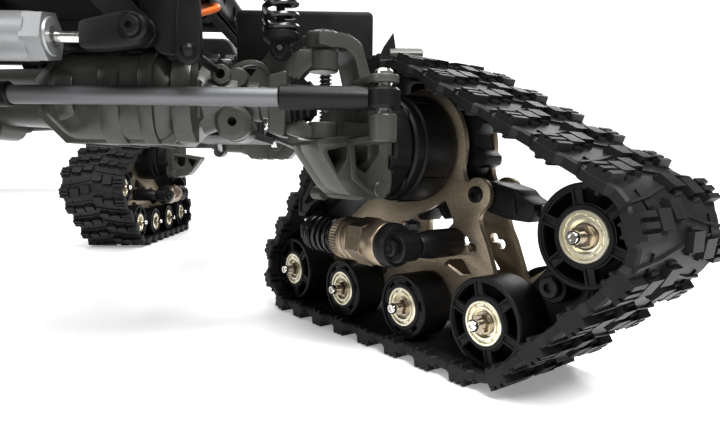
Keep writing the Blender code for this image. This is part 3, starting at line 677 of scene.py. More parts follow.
def wheel_shapes(f, h, radius):
    """The rollers, the bearings, the axle and the nut of one wheel."""
    rollers, races, axle, nut = new_shape(), new_shape(), new_shape(), new_shape()
    spoked = radius > SMALL_R + 1
    for face, closed_end, way in ((WHEEL_NEAR, 48.0, 1), (WHEEL_FAR, 71.0, -1)):
        roller(rollers, f, h, radius, face, closed_end, spoked)
        bearing(races, f, h, face, way)
    stud_and_nut(axle, nut, f, h, STUD_FACE, STUD_TIP)
    cylinder(axle, "X", (-f, h), 38.6, 73.4, 2.55, 24, 0.2)
    tube(axle, "X", (-f, h), 48.3, 70.7, 3.7, 2.7, 28, 0.2)
    socket_screw(axle, "X", (-f, h), 78.5, 1, 2.5, 0.5, 2.0)
    return rollers, races, axle, nut


# ------------------------------------------------------------------ side plates

def plate_outline():
    """The side plate: a ring round the drive axle, three legs and the ear of the tensioner."""
    rear, front = WHEELS[0][:2], WHEELS[3][:2]
    points = arc(rear, 8.0, 135, 270, 10)
    points += arc(front, 9.0, 270, 310, 4)
    points += arc(PIVOT, 8.0, -45, 115, 12)
    points += [(49.0, 31.5), (45.0, 31.0), (41.5, 34.5), (36.6, 46.8), (34.0, 51.6), (32.6, 55.6),
               (33.2, 58.0)]
    points += arc(EAR, 6.6, -50, 112, 14) + [(26.9, 70.1), (25.4, 70.4), (24.4, 72.4)]
    points += arc((0.0, DRIVE_H), 25.0, -18, 212, 36)
    return points


def plate_shape(span, hub_hole):
    """A side plate with its windows, the tensioner's slot and its bores."""
    rear_window = rounded([(-50.0, 35.0), (-29.0, 52.0), (-17.0, 49.5), (-23.0, 37.0), (-33.0, 32.5)], 3.0)
    middle_window = rounded([(15.0, 62.4), (19.9, 53.6), (15.6, 50.0), (14.0, 44.5), (10.5, 41.0),
                             (-6.0, 40.5), (-11.5, 45.0), (-12.0, 51.2), (6.4, 58.5)], 1.4)
    low_window = rounded([(25.0, 39.6), (29.6, 34.2), (24.0, 33.0), (15.0, 36.2), (17.5, 38.4)], 0.8)
    turn = degrees(atan2(SLOT[1][1] - SLOT[0][1], SLOT[1][0] - SLOT[0][0]))
    slot_loop = arc(SLOT[1], 2.0, turn - 150, turn + 150, 12) + arc(SLOT[0], 2.0, turn + 30, turn + 330, 12)
    holes = [circle(place_at[:2], 4.4, 28) for place_at in WHEELS]
    holes += [circle(PIVOT, 5.4, 28), circle((0.0, DRIVE_H), hub_hole + 0.4, 48)]
    shape = new_shape()
    sheet(shape, [plate_outline(), rear_window, middle_window, low_window, slot_loop] + holes, *span, 0.22)
    return shape


@drawn
def plate_fittings(shape):
    """Black screws, sleeves, the tensioner block and the legs that carry the idler's pivot."""
    for place_at in (EAR, LOWER_EAR):
        centre = (-place_at[0], place_at[1])
        tube(shape, "X", centre, 52.1, 66.9, 4.6, 1.6, 28, 0.3)
        socket_screw(shape, "X", centre, 49.4, -1, 3.2, 1.7, 2.4)
        socket_screw(shape, "X", centre, 69.6, 1, 3.2, 1.7, 2.4)
    body = [(28.5, 70.3), (38.0, 69.6), (46.5, 67.6), (49.0, 65.0), (54.2, 62.4), (54.6, 60.9), (52.6, 55.9),
            (43.0, 56.4), (36.0, 57.9), (28.5, 60.2)]
    slab(shape, body, (0.9, 2), 53.6, 65.4, 0.5)
    slab(shape, [(32.0, 68.4), (45.5, 66.6), (47.5, 58.2), (35.0, 60.0)], (1.2, 2), 52.9, 66.1, 0.4)
    for low, high in ((48.9, 49.4), (69.6, 70.1)):
        leg = arc(PIVOT, 8.3, -60, 130, 10) + [(56.0, 33.5), (55.0, 15.5)]
        sheet(shape, [leg, circle(PIVOT, 5.4, 28)], low, high, 0.12)


@drawn
def standoff_shape(shape):
    """Sleeve from the near plate out to the damper's eye."""
    centre = (-EYE_F, DAMPER_H)
    turned(shape, "X", centre, [(49.3, 5.0), (48.5, 5.6), (35.0, 5.6), (29.0, 4.6), (28.2, 4.2)], 36)
    cylinder(shape, "X", centre, 14.8, 30.0, 2.5, 24, 0.3)
    socket_screw(shape, "X", centre, 16.4, -1, 3.0, 1.6, 2.0)


# ------------------------------------------------------------------ damper

def damper_shapes():
    """Damper pieces along their fore-and-aft axis: bronze, black and steel shapes, rod, spring."""
    centre = (DAMPER_X, DAMPER_H)
    bronze, black = new_shape(), new_shape()
    turned(bronze, "Y", centre, [(-6.0, 6.4), (11.4, 6.4)], 40)
    for start in (4.2, 8.0):
        lathe(bronze, "Y", centre, [(start, 6.0), (start, 8.3), (start + 0.4, 8.8), (start + 2.6, 8.8),
                                    (start + 3.0, 8.3), (start + 3.0, 6.0)], 48, ring=True)
    prism(bronze, hexagon(centre, 16.6, 18), -5.2, 3.9, "Y")
    turned(bronze, "Y", centre, [(-13.0, 8.2), (-12.4, 8.7), (-5.6, 8.7), (-5.0, 8.2)], 48)
    knurled = []
    for i in range(44):
        angle = 2 * pi * i / 44
        for way in (-0.32, 0.32):
            knurled.append((angle + way * 2 * pi / 44, 8.9 if way < 0 else 8.35))
    collar = [(centre[0] + r * cos(a), centre[1] + r * sin(a)) for a, r in knurled]
    prism(bronze, collar, 11.6, 15.6, "Y")
    turned(bronze, "Y", centre, [(15.6, 7.6), (15.9, 7.8), (16.6, 7.8), (16.9, 7.4)], 40)
    turned(black, "Y", centre, [(-19.0, 5.4), (-18.4, 7.6), (-16.5, 8.5), (-13.9, 8.6), (-13.2, 8.2)], 40)
    eye = (-EYE_F, DAMPER_H)
    tube(black, "X", eye, DAMPER_X - 4.6, DAMPER_X + 4.6, 5.6, 2.7, 36, 0.6)
    block(black, (DAMPER_X - 3.6, -20.4, DAMPER_H - 4.6), (DAMPER_X + 3.6, -17.0, DAMPER_H + 4.6))
    rod_steel, rod_black = new_shape(), new_shape()
    cylinder(rod_steel, "Y", centre, 6.0, 39.0, 1.6, 20, 0.2)
    turned(rod_black, "Y", centre, [(38.2, 7.4), (37.8, 8.0), (37.0, 8.0), (36.6, 7.2)], 40)
    cylinder(rod_black, "Y", centre, 38.0, 41.0, 3.4, 24, 0.3)
    ball = (DAMPER_X, -STUD_F)
    tube(rod_black, "Z", ball, DAMPER_H - 3.4, DAMPER_H + 3.4, 4.3, 1.9, 32, 0.6)
    cylinder(rod_steel, "Z", ball, DAMPER_H - 3.7, DAMPER_H + 3.7, 2.0, 24, 0.4)
    spring = wire("spring", coil_points("Y", centre, 17.6, 36.0, 7.6, 5.6), 0.85)
    return bronze, black, rod_steel, rod_black, spring


# ------------------------------------------------------------------ hub mount and knuckle

def bracket_web(shape, low, high, flange):
    """Triangular web of the damper bracket with its lightening holes and edge flange."""
    outer = rounded([(-14.0, 94.0), (-22.0, 89.0), (-47.5, 59.5), (-47.5, 52.8), (-42.6, 52.8),
                     (-36.0, 58.6), (-26.0, 63.0), (-14.0, 67.2)], 2.0, 3)
    windows = [rounded([(-16.5, 88.0), (-21.5, 84.5), (-28.5, 76.5), (-16.5, 78.0)], 1.0, 2),
               rounded([(-17.0, 75.2), (-30.5, 73.6), (-36.0, 67.0), (-17.0, 67.6)], 1.0, 2),
               rounded([(-24.0, 66.0), (-37.6, 65.2), (-43.2, 58.8), (-38.6, 59.4)], 1.0, 2)]
    sheet(shape, [outer] + windows, low, high, 0.3)
    inner = [tuple(Vector(p) + (Vector((-27.0, 72.0)) - Vector(p)).normalized() * 1.5) for p in outer]
    sheet(shape, [outer, inner], low - flange, high + flange, 0.25)


@drawn
def hub_shape(shape):
    """Drum that the unit rocks on, with bolt pads and the gusseted damper bracket."""
    centre = (0.0, DRIVE_H)
    lathe(shape, "X", centre, [(28.5, 5.4), (28.5, 19.5), (29.4, 20.3), (33.0, 20.3), (33.6, 21.3),
                               (46.6, 21.9), (48.4, 21.3), (49.1, 20.1), (49.1, 12.0), (52.8, 12.0),
                               (52.8, 5.4)], 64, ring=True)
    for spot in spots(centre, 16.8, 4, 48):
        cylinder(shape, "X", spot, 27.6, 32.0, 3.4, 24, 0.4)
    for i in range(8):
        angle = radians(45 * i + 10)
        out, side = Vector((cos(angle), sin(angle))), Vector((-sin(angle), cos(angle)))
        loop = [out * 19.0 + side, out * 22.0 + side, out * 22.0 - side, out * 19.0 - side]
        prism(shape, [(p.x, DRIVE_H + p.y) for p in loop], 34.5, 45.5)
    bracket_web(shape, 30.0, 31.6, 0.9)
    bracket_web(shape, 18.9, 20.3, 0.6)
    block(shape, (18.4, 42.0, 52.8), (32.5, 47.3, 54.6))
    for f, low, high in ((-22.0, 64.6, 88.0), (-34.0, 61.0, 74.0), (-46.6, 52.8, 59.0)):
        prism(shape, [(f - 0.7, low), (f + 0.7, low + 0.4), (f + 0.7, high), (f - 0.7, high - 1.5)], 19.0,
              32.0)


@drawn
def stud_shape(shape):
    """Stud of the damper's far end, under the bracket."""
    spot = (DAMPER_X, -STUD_F)
    cylinder(shape, "Z", spot, DAMPER_H + 3.9, 52.0, 1.55, 20, 0.2)
    turned(shape, "Z", spot, [(49.8, 1.5), (50.4, 2.4), (51.5, 2.7)], 24)


@drawn
def portal_shape(shape):
    """Grey portal gear case: a rounded block with a bolt tube at each corner."""
    case = rounded([(-13.0, 66.0), (-9.0, 63.0), (13.0, 63.0), (17.0, 67.0), (17.0, 99.0), (12.0, 104.0),
                    (-8.0, 104.0), (-13.0, 98.0)], 3.0)
    sheet(shape, [case], 8.0, 19.6, 0.8)
    for f, h in ((13.5, 67.5), (13.5, 99.5), (-9.5, 67.5), (-9.5, 99.5)):
        cylinder(shape, "X", (-f, h), 7.6, 19.0, 3.4, 24, 0.5)
        tube(shape, "X", (-f, h), 7.0, 8.4, 2.6, 1.3, 20, 0.2)


@drawn
def flange_shape(shape):
    """Black bearing flange between the portal case and the hub, with its bolt lugs."""
    centre = (0.0, DRIVE_H)
    turned(shape, "X", centre, [(19.2, 18.4), (20.2, 19.4), (26.9, 19.4), (27.8, 18.6)], 56)
    for spot in spots(centre, 17.2, 6, 20):
        cylinder(shape, "X", spot, 17.5, 27.6, 2.8, 24, 0.4)


@drawn
def gusset_shape(shape):
    """Open-fronted gusset under the front of the knuckle, with a triangular pocket and a ridge."""
    outer = rounded([(-15.6, 83.4), (-14.6, 80.2), (-5.4, 68.4), (-2.0, 65.4), (9.6, 64.2), (13.6, 69.0),
                     (13.4, 86.6), (8.0, 87.0)], 1.2, 3)
    left = rounded([(-11.6, 80.4), (-3.2, 82.4), (-3.4, 78.4), (-7.2, 72.6)], 0.6, 2)
    right = rounded([(-0.6, 82.8), (10.4, 84.2), (10.6, 80.0), (4.6, 73.2), (-1.4, 76.6)], 0.8, 2)
    sheet(shape, [outer, left, right], -20.4, -9.0, 0.4, "Y")
    sheet(shape, [outer], -9.2, -4.0, 0.5, "Y")
    ridge = [(-3.2, 83.2), (-1.0, 83.2), (0.4, 72.0), (8.6, 66.0), (7.4, 65.0), (-2.2, 71.0)]
    slab(shape, ridge, (0.6, 2), -21.2, -19.8, 0.3, "Y")
    cylinder(shape, "Y", (10.6, 67.4), -21.4, -12.0, 2.9, 24, 0.4)


def knuckle_strap(shape):
    """Arched arm from the kingpin's cap out and down to the portal case."""
    path = [(-5.6, 123.2), (8.0, 123.0), (13.0, 121.0), (19.2, 106.0), (19.6, 100.0), (14.6, 100.0),
            (10.4, 115.0), (6.4, 117.9), (-5.6, 117.9)]
    slab(shape, path, (1.6, 4), -6.2, 6.2, 0.5, "Y")
    ridge = [(-4.0, 123.9), (8.4, 123.7), (13.9, 121.3), (19.6, 106.6), (18.4, 106.0), (12.6, 119.6),
             (7.4, 121.9), (-4.0, 122.2)]
    for y in (-5.0, 4.0):
        slab(shape, ridge, (0.6, 2), y, y + 1.2, 0.2, "Y")


def knuckle_shape():
    """Steering knuckle: portal case, kingpin arms, ribs and the steering clevis."""
    shape = portal_shape()
    spot = (0.0, 0.0)
    turned(shape, "Z", spot, [(117.7, 6.2), (122.9, 6.2), (123.8, 5.4), (123.8, 2.9), (122.6, 2.7)], 40)
    turned(shape, "Z", spot, [(80.2, 5.6), (80.8, 6.2), (84.5, 6.2)], 40)
    knuckle_strap(shape)
    low_arm = rounded([(0.0, -6.0), (12.0, -6.5), (12.0, 6.5), (0.0, 6.0)], 1.5)
    sheet(shape, [low_arm], 80.2, 84.0, 0.4, "Z")
    ball = (0.0, -ARM_F)
    tab = arc(ball, 5.0, 180, 360, 16) + [(9.4, -24.0), (12.0, -15.0), (12.0, -9.0), (4.0, -9.0),
                                          (-1.5, -22.0)]
    sheet(shape, [tab], 101.7, 104.3, 0.35, "Z")
    prism(shape, [(10.0, 104.0), (20.0, 104.2), (30.0, 104.2), (30.0, 102.0), (10.0, 95.0)], 5.0, 7.0)
    cylinder(shape, "Z", ball, 83.2, 92.2, 4.5, 32, 0.5)
    prism(shape, [(12.0, 80.0), (18.0, 82.4), (35.0, 83.4), (35.0, 88.8), (12.0, 91.0)], 1.0, 3.0)
    prism(shape, [(12.0, 80.0), (18.0, 82.4), (33.0, 83.4), (33.0, 85.4), (12.0, 84.0)], -3.0, 7.0)
    for x in (9.0, 18.4):
        cylinder(shape, "Y", (x, 64.6), 12.0, 19.0, 2.7, 24, 0.4)
    return shape


@drawn
def knuckle_steel(shape):
    """Kingpin screw, and the tie rod's bolt with its head and washers."""
    spot = (0.0, 0.0)
    turned(shape, "Z", spot, [(122.4, 2.6), (123.7, 2.6), (124.0, 2.3), (124.0, 1.1), (123.1, 1.1)], 24)
    ball = (0.0, -ARM_F)
    cylinder(shape, "Z", ball, 91.8, 104.4, 1.5, 20, 0.1)
    turned(shape, "Z", ball, [(104.2, 3.2), (105.4, 3.2), (106.2, 2.4), (106.2, 1.1), (105.2, 1.1)], 28)
    lathe(shape, "Z", ball, [(92.0, 1.5), (92.0, 3.0), (93.0, 2.6), (93.8, 2.6), (93.8, 1.5)], 28, ring=True)
    lathe(shape, "Z", ball, [(100.3, 1.5), (100.3, 2.6), (101.0, 2.7), (101.7, 3.1), (101.7, 1.5)], 28,
          ring=True)


# ------------------------------------------------------------------ tie rod

def tie_rod_shapes():
    """Tie rod from the left ball (x = 0) to the right ball, with plastic ends and steel balls."""
    rod, ends, balls = new_shape(), new_shape(), new_shape()
    length = 2 * HALF_TRACK
    cylinder(rod, "X", (0.0, 0.0), -length + 29.0, -29.0, 3.0, 32, 0.2)
    for start, way in ((0.0, -1), (-length, 1)):
        section = [(33.2, 0), (33.2, 3.4), (32.6, 4.0), (10.0, 3.8), (5.0, 3.5), (3.0, 0)]
        lathe(ends, "X", (0.0, 0.0), [(start + way * along, r) for along, r in section], 36)
        lathe(ends, "Z", (start, 0.0), [(-3.4, 2.6), (-3.4, 4.6), (-2.4, 5.5), (2.4, 5.5), (3.4, 4.6),
                                        (3.4, 2.6)], 40, ring=True)
        lathe(balls, "Z", (start, 0.0), [(-3.6, 1.6), (-3.6, 2.2), (-2.0, 3.1), (0.0, 3.4), (2.0, 3.1),
                                         (3.6, 2.2), (3.6, 1.6)], 32, ring=True)
    return rod, ends, balls


# ------------------------------------------------------------------ axles

def octagon(scale_x=1.0, scale_z=1.0):
    """Outline (x, z) of the differential case."""
    w, t, c = 27.5 * scale_x, 15.6 * scale_z, 9.5
    loop = [(w, t - c), (w - c, t), (c - w, t), (-w, t - c), (-w, c - t), (c - w, -t), (w - c, -t),
            (w, c - t)]
    return [(CASE_X + x, CASE_H + z) for x, z in loop]


@drawn
def diff_shape(shape, low, high):
    """Ribbed differential case across y from low to high."""
    sheet(shape, [octagon()], low, high, 1.2, "Y")
    for x in (-12.0, -1.0, 10.0):
        block(shape, (CASE_X + x - 1.0, low + 1.0, 81.8), (CASE_X + x + 1.0, high - 1.0, 114.2))


@drawn
def tube_shape(shape, reach):
    """Axle tube with its collars and the cones beside the differential case."""
    cylinder(shape, "X", (0.0, AXLE_H), -reach, reach, 6.5, 36, 0.4)
    for side in (-1, 1):
        cylinder(shape, "X", (0.0, AXLE_H), *sorted((side * 48.0, side * 53.0)), 7.6, 36, 0.5)
        x = CASE_X + side * 26.0
        reach = 14.0 if side > 0 else 26.0
        turned(shape, "X", (0.0, AXLE_H), [(x, 12.6), (x + side * 5.0, 10.6), (x + side * (reach - 1), 10.0),
                                           (x + side * reach, 9.0)], 40)


@drawn
def c_hub_shape(shape, side):
    """C-shaped fork with a round throat for the universal joint."""
    spot = (side * HALF_TRACK, 0.0)
    for low, high in ((109.6, 117.1), (85.1, 91.4)):
        cylinder(shape, "Z", spot, low, high, 5.6, 36, 0.5)
    throat = arc((HALF_TRACK + 3.0, 100.2), 12.6, 118, 236, 14)
    fork = [(2.0, 117.0), (8.0, 117.0), (12.0, 114.6), (13.6, 109.0), (18.6, 107.6), (18.6, 90.4),
            (13.0, 87.0), (6.0, 85.2), (2.0, 85.2)]
    fork = [(HALF_TRACK - x, z) for x, z in fork]
    sheet(shape, [[(side * x, z) for x, z in throat + fork[::-1]]], -4.1, 4.1, 0.6, "Y")
    web = rounded([(56.2, 87.0), (62.0, 85.6), (63.0, 109.0), (56.2, 107.0)], 1.5)
    sheet(shape, [[(side * x, z) for x, z in web]], -9.8, 9.8, 0.8, "Y")


@drawn
def universal_joint(shape, side):
    """Boot, cup and cross of the joint inside the steering fork."""
    section = [(61.0, 9.6), (64.0, 9.6), (64.6, 8.6), (65.8, 9.0), (67.0, 7.9), (68.2, 8.3), (69.4, 7.1),
               (70.6, 7.4), (72.0, 5.6)]
    turned(shape, "X", (0.0, AXLE_H), [(side * x, r) for x, r in section], 40)
    centre = (0.0, AXLE_H)
    cylinder(shape, "X", centre, *sorted((side * 63.0, side * 67.5)), 5.2, 32, 0.5)
    for way in (-1, 1):
        block(shape, (side * 69 - 3.0, way * 4.6 - 1.0, AXLE_H - 2.6),
              (side * 69 + 3.0, way * 4.6 + 1.0, AXLE_H + 2.6))
    cylinder(shape, "Y", (side * 71.0, AXLE_H), -5.6, 5.6, 2.0, 24, 0.3)
    cylinder(shape, "Z", (side * 71.0, 0.0), AXLE_H - 5.2, AXLE_H + 5.2, 2.0, 24, 0.3)


def join(*shapes):
    """All the shapes in one."""
    whole = new_shape()
    for part in shapes:
        mesh = bpy.data.meshes.new("join")
        part.to_mesh(mesh)
        whole.from_mesh(mesh)
        bpy.data.meshes.remove(mesh)
    return whole


def shock_seat(shape, side, y):
    """Bracket behind a shock's lower eye, with the pin through the eye."""
    x = side * SHOCK_X
    foot = [(x - side * 14.0, 103.0), (x + side * 3.6, 103.0), (x + side * 3.8, 117.0), (x, 119.6),
            (x - side * 4.0, 117.0)]
    slab(shape, foot, (1.2, 3), y + 3.6, y + 6.6, 0.3, "Y")
    cylinder(shape, "Y", (x, SHOCK_EYE_H), y - 4.2, y + 4.0, 1.1, 24, 0.3)


def link_lug(shape, side, low, high):
    x = side * 44.0
    cylinder(shape, "Y", (x, 89.0), low, high, 5.2, 32, 0.5)
    block(shape, (x - 3.8, low + 0.4, 88.0), (x + 3.8, high - 0.4, 96.0))


def front_axle_shape():
    shape = join(tube_shape(62.0), diff_shape(-12.0, 16.0), c_hub_shape(1), c_hub_shape(-1))
    cylinder(shape, "Y", (DIFF_X, AXLE_H), 10.0, 30.0, 9.0, 36, 0.6)
    for side in (-1, 1):
        shock_seat(shape, side, -8.0)
        link_lug(shape, side, -3.8, 11.8)
    tube(shape, "Y", (40.0, 107.0), -11.0, 0.0, 3.4, 1.7, 32, 0.4)
    cylinder(shape, "Y", (45.6, 106.6), -8.0, 2.0, 3.2, 32, 0.6)
    ring = arc((49.5, 104.0), 9.0, 10, 150, 16) + arc((49.5, 104.0), 7.4, 150, 10, 16)
    sheet(shape, [ring], -5.0, -1.0, 0.3, "Y")
    tube(shape, "Y", (44.0, 90.6), -11.0, -3.0, 6.4, 1.6, 36, 1.6)
    slab(shape, [(33.0, 97.0), (37.0, 105.0), (52.0, 105.0), (56.0, 98.0)], (2.0, 3), -5.0, 3.0, 0.5, "Y")
    return shape


COVER_SCREWS = [(-20.0, 0.0), (20.0, 0.0), (-11.0, 11.5), (11.0, 11.5), (-11.0, -11.5), (11.0, -11.5)]


@drawn
def cover_shape(shape):
    """Domed differential cover with screw pads round its rim."""
    sheet(shape, [octagon()], -15.0, -12.4, 0.5, "Y")
    rings = []
    for y, scale in ((-14.6, 0.93), (-17.5, 0.9), (-20.5, 0.8), (-22.4, 0.62), (-23.0, 0.42)):
        loop = rounded(octagon(scale, scale), 3.0, 3)
        rings.append([shape.verts.new((x, y, z)) for x, z in loop])
    bridge(shape, rings, caps=True)
    for x, half, reach in ((-21.6, 3.0, 10.0), (-7.4, 3.4, 15.2), (4.4, 2.4, 15.2), (16.0, 3.2, 14.4)):
        rib = [(12.6, CASE_H + reach + 0.8), (16.8, CASE_H + reach + 0.4), (21.2, CASE_H + reach * 0.8),
               (23.7, CASE_H + reach * 0.45), (23.7, CASE_H - reach * 0.45), (21.2, CASE_H - reach * 0.8),
               (16.8, CASE_H - reach - 0.4), (12.6, CASE_H - reach - 0.8)]
        sheet(shape, [rib], DIFF_X + x - half, DIFF_X + x + half, 0.5)
    for x, z in COVER_SCREWS:
        cylinder(shape, "Y", (CASE_X + x, CASE_H + z), -16.6, -13.0, 3.0, 24, 0.4)


@drawn
def cover_screws(shape):
    for x, z in COVER_SCREWS:
        socket_screw(shape, "Y", (CASE_X + x, CASE_H + z), -16.5, -1, 2.2, 1.3, 1.8)


# ------------------------------------------------------------------ assembling the corners

def build_corner(corner, shapes):
    """All the pieces of one track unit and of its knuckle or portal case."""
    side, y, steer = CORNERS[corner]
    matrix = corner_matrix(side, y, steer)
    front = corner.startswith("front")
    unit, arm, sprocket = f"{corner}_unit", f"{corner}_idler_arm", f"{corner}_sprocket"
    damper, rod = f"{corner}_damper_body", f"{corner}_damper_rod"
    carrier = ("left_knuckle" if side > 0 else "right_knuckle") if front else "rear_axle"

    def add(name, shape, material, body, *replaced, **look):
        return piece(f"{corner}_{name}", shape, material, body, matrix, replaced, **look)

    add("track_belt", shapes["belt"], RUBBER, unit, f"{corner}_belt", bevel=0.18, angle=30)
    add("near_plate", shapes["near_plate"], BRONZE, unit, f"{corner}_inner_plate"
        if front else f"{corner}_side_frame")
    add("far_plate", shapes["far_plate"], BRONZE, unit, *([f"{corner}_outer_plate"] if front else []))
    add("plate_fittings", shapes["fittings"], BLACK, unit)
    add("tensioner_screw", shapes["tensioner"], STEEL, unit)
    add("standoff", shapes["standoff"], BLACK, unit)
    for number, (rollers, races, axle, nut) in enumerate(shapes["wheels"], 1):
        name, carried = (f"wheel_{number}", unit) if number < 5 else ("idler", arm)
        body = f"{corner}_{name}"
        add(f"{name}_rollers", rollers, BLACK, body, body)
        add(f"{name}_bearings", races, SHIELD, body)
        add(f"{name}_axle", axle, STEEL, carried)
        add(f"{name}_nut", nut, COPPER, carried)
    add("idler_fork", shapes["arm"], BLACK, arm, arm)
    add("idler_pivot_screw", shapes["pivot"], BLOCK_SOCKET, arm)
    add("drive_sprocket", shapes["sprocket"], BLACK, sprocket, sprocket)
    bronze, black, rod_steel, rod_black, spring = shapes["damper"]
    add("damper_cylinder", bronze, TURNED, damper, damper, bevel=0.12)
    add("damper_cap", black, BLACK, damper)
    add("damper_shaft", rod_steel, STEEL, rod)
    add("damper_end", rod_black, BLACK, rod, rod)
    stretched(f"{corner}_damper_spring", spring, GLOSS, damper, rod, matrix, (DAMPER_X, 17.0, DAMPER_H),
              (DAMPER_X, 36.6, DAMPER_H))
    add("hub_drum", shapes["hub"], BLACK, carrier, *([f"{corner}_hub_mount"] if front else []))
    add("damper_stud", shapes["stud"], STEEL, carrier)
    add("portal_flange", shapes["flange"], BLACK, carrier)
    if front:
        piece(f"{carrier}_casting", shapes["knuckle"], GREY, carrier, matrix, [carrier], 0.2)
        piece(f"{carrier}_gusset", shapes["gusset"], GREY, carrier, matrix)
        piece(f"{carrier}_screws", shapes["knuckle_steel"], STEEL, carrier, matrix)
    else:
        add("portal_case", shapes["portal"], GREY, carrier)
        add("portal_gusset", shapes["gusset"], GREY, carrier)


@drawn
def tensioner_shape(shape):
    """Adjusting screw that points from the tensioner block to the idler's axle."""
    cylinder(shape, "X", (0.0, 0.0), -8.0, 8.5, 1.5, 20, 0.25)
    turned(shape, "X", (0.0, 0.0), [(3.0, 2.7), (5.0, 2.7)], 6)
    heading = atan2(IDLER[1] - 60.6, IDLER[0] - 51.0)
    aim = Matrix.Rotation(-heading, 4, "X") @ Matrix.Rotation(radians(-90), 4, "Z")
    turn = Matrix.Translation((59.5, -50.5, 60.4)) @ aim
    bmesh.ops.transform(shape, matrix=turn, verts=shape.verts)


@drawn
def arm_shape(shape):
    """Idler fork from its pivot to the idler's axle."""
    tilt = degrees(atan2(IDLER[1] - PIVOT[1], IDLER[0] - PIVOT[0]))
    sides = arc(PIVOT, 7.2, tilt + 90, tilt + 270, 14) + arc(IDLER[:2], 7.2, tilt - 90, tilt + 90, 14)
    sheet(shape, [sides, circle(IDLER[:2], 4.3)], 53.0, 66.0, 0.5)
    lathe(shape, "X", (-PIVOT[0], PIVOT[1]), [(41.2, 0), (41.2, 4.9), (41.8, 5.3), (68.5, 5.3), (68.5, 0)],
          36)


@drawn
def pivot_screw_shape(shape):
    lathe(shape, "X", (-PIVOT[0], PIVOT[1]), [(41.4, 0), (41.4, 3.6), (39.2, 3.6), (38.8, 3.2), (38.8, 1.6),
                                              (40.2, 1.6), (40.2, 0)], 28)


@drawn
def sprocket_shape(shape):
    """Drive sprocket with rounded teeth, lightening holes and a hub."""
    teeth = 12
    rim = []
    for i in range(teeth):
        tooth = 360 / teeth
        for share, radius in ((0.0, 25.5), (0.2, 25.3), (0.42, 25.5), (0.5, 28.6), (0.6, 30.7), (0.71, 31.0),
                              (0.82, 30.7), (0.92, 28.6)):
            angle = radians(tooth * (i + share))
            rim.append((radius * cos(angle), DRIVE_H + radius * sin(angle)))
    holes = [circle(spot, 4.2, 20) for spot in spots((0.0, DRIVE_H), 17.0, 6, 0)]
    sheet(shape, [rim] + holes, 55.0, 65.0, 0.4)
    turned(shape, "X", (0.0, DRIVE_H), [(31.0, 4.6), (31.4, 5.0), (53.6, 5.0), (53.6, 9.0), (54.2, 9.6),
                                        (65.8, 9.6), (66.4, 9.0), (66.4, 5.0), (71.6, 5.0), (72.0, 4.6)], 36)


def build_units():
    shapes = {
        "belt": belt_shape(),
        "near_plate": plate_shape(NEAR_PLATE, 12.0),
        "far_plate": plate_shape(FAR_PLATE, 5.0),
        "fittings": plate_fittings(),
        "tensioner": tensioner_shape(),
        "standoff": standoff_shape(),
        "wheels": [wheel_shapes(*wheel) for wheel in WHEELS + [IDLER]],
        "arm": arm_shape(),
        "pivot": pivot_screw_shape(),
        "sprocket": sprocket_shape(),
        "damper": damper_shapes(),
        "hub": hub_shape(),
        "stud": stud_shape(),
        "knuckle": knuckle_shape(),
        "gusset": gusset_shape(),
        "knuckle_steel": knuckle_steel(),
        "portal": portal_shape(),
        "flange": flange_shape(),
    }
    for corner in CORNERS:
        build_corner(corner, shapes)


def build_steering():
    ball = Vector((HALF_TRACK + ARM_F * sin(radians(STEER)), -ARM_F * cos(radians(STEER)), TIE_ROD_H))
    matrix = FRONT_FRAME @ Matrix.Translation(ball)
    rod, ends, balls = tie_rod_shapes()
    piece("tie_rod_bar", rod, SATIN, "tie_rod", matrix, ["tie_rod"])
    piece("tie_rod_ends", ends, BLACK, "tie_rod", matrix)
    piece("tie_rod_balls", balls, STEEL, "tie_rod", matrix)


def build_axles():
    piece("front_axle_casting", front_axle_shape(), GREY, "front_axle", FRONT_FRAME, ["front_axle_housing"])
    piece("front_diff_dome", cover_shape(), GREY, "front_axle", FRONT_FRAME, ["front_diff_cover"])
    piece("front_diff_screws", cover_screws(), BLOCK_SOCKET, "front_axle", FRONT_FRAME)
    for word, side in SIDES:
        piece(f"{word}_universal_joint", universal_joint(side), BLACK, "front_axle", FRONT_FRAME)
    rear = join(tube_shape(85.0), diff_shape(-16.0, 18.0))
    cylinder(rear, "Y", (DIFF_X, AXLE_H), -32.0, -10.0, 9.0, 36, 0.6)
    for side in (-1, 1):
        shock_seat(rear, side, 8.0)
        link_lug(rear, side, -11.8, 3.8)
    piece("rear_axle_casting", rear, GREY, "rear_axle", REAR_FRAME, ["rear_axle_housing"])


# ------------------------------------------------------------------ shocks, links and shafts

def shock_shapes():
    """Coil-over shock round x = y = 0: cylinder and cap, rod and lower eye, spring."""
    spot = (0.0, 0.0)
    body, rod = new_shape(), new_shape()
    lathe(body, "Z", spot, [(136.0, 3.4), (136.0, 3.8), (136.6, 4.4), (171.6, 4.4), (171.6, 5.9),
                            (174.6, 5.9), (174.6, 4.4), (178.0, 4.4), (178.4, 5.0), (182.6, 5.0),
                            (184.0, 4.0), (184.0, 0), (170.0, 0), (170.0, 3.4)], 36, ring=True)
    for z in (140.0, 142.0, 144.0, 146.0, 148.0):
        lathe(body, "Z", spot, [(z, 4.0), (z + 0.5, 4.45), (z + 1.0, 4.0)], 36, ring=True)
    cylinder(rod, "Z", spot, 118.0, 139.0, 1.5, 24, 0.2)
    lathe(rod, "Z", spot, [(118.0, 0), (118.0, 4.4), (119.4, 6.2), (121.2, 6.4), (122.4, 5.4), (122.4, 0)],
          36)
    tube(rod, "Y", (0.0, SHOCK_EYE_H), -3.2, 3.2, 3.6, 1.5, 32, 0.5)
    spring = wire("coil", coil_points("Z", spot, 122.8, 170.6, 5.55, 13.5), 1.05)
    return body, rod, spring


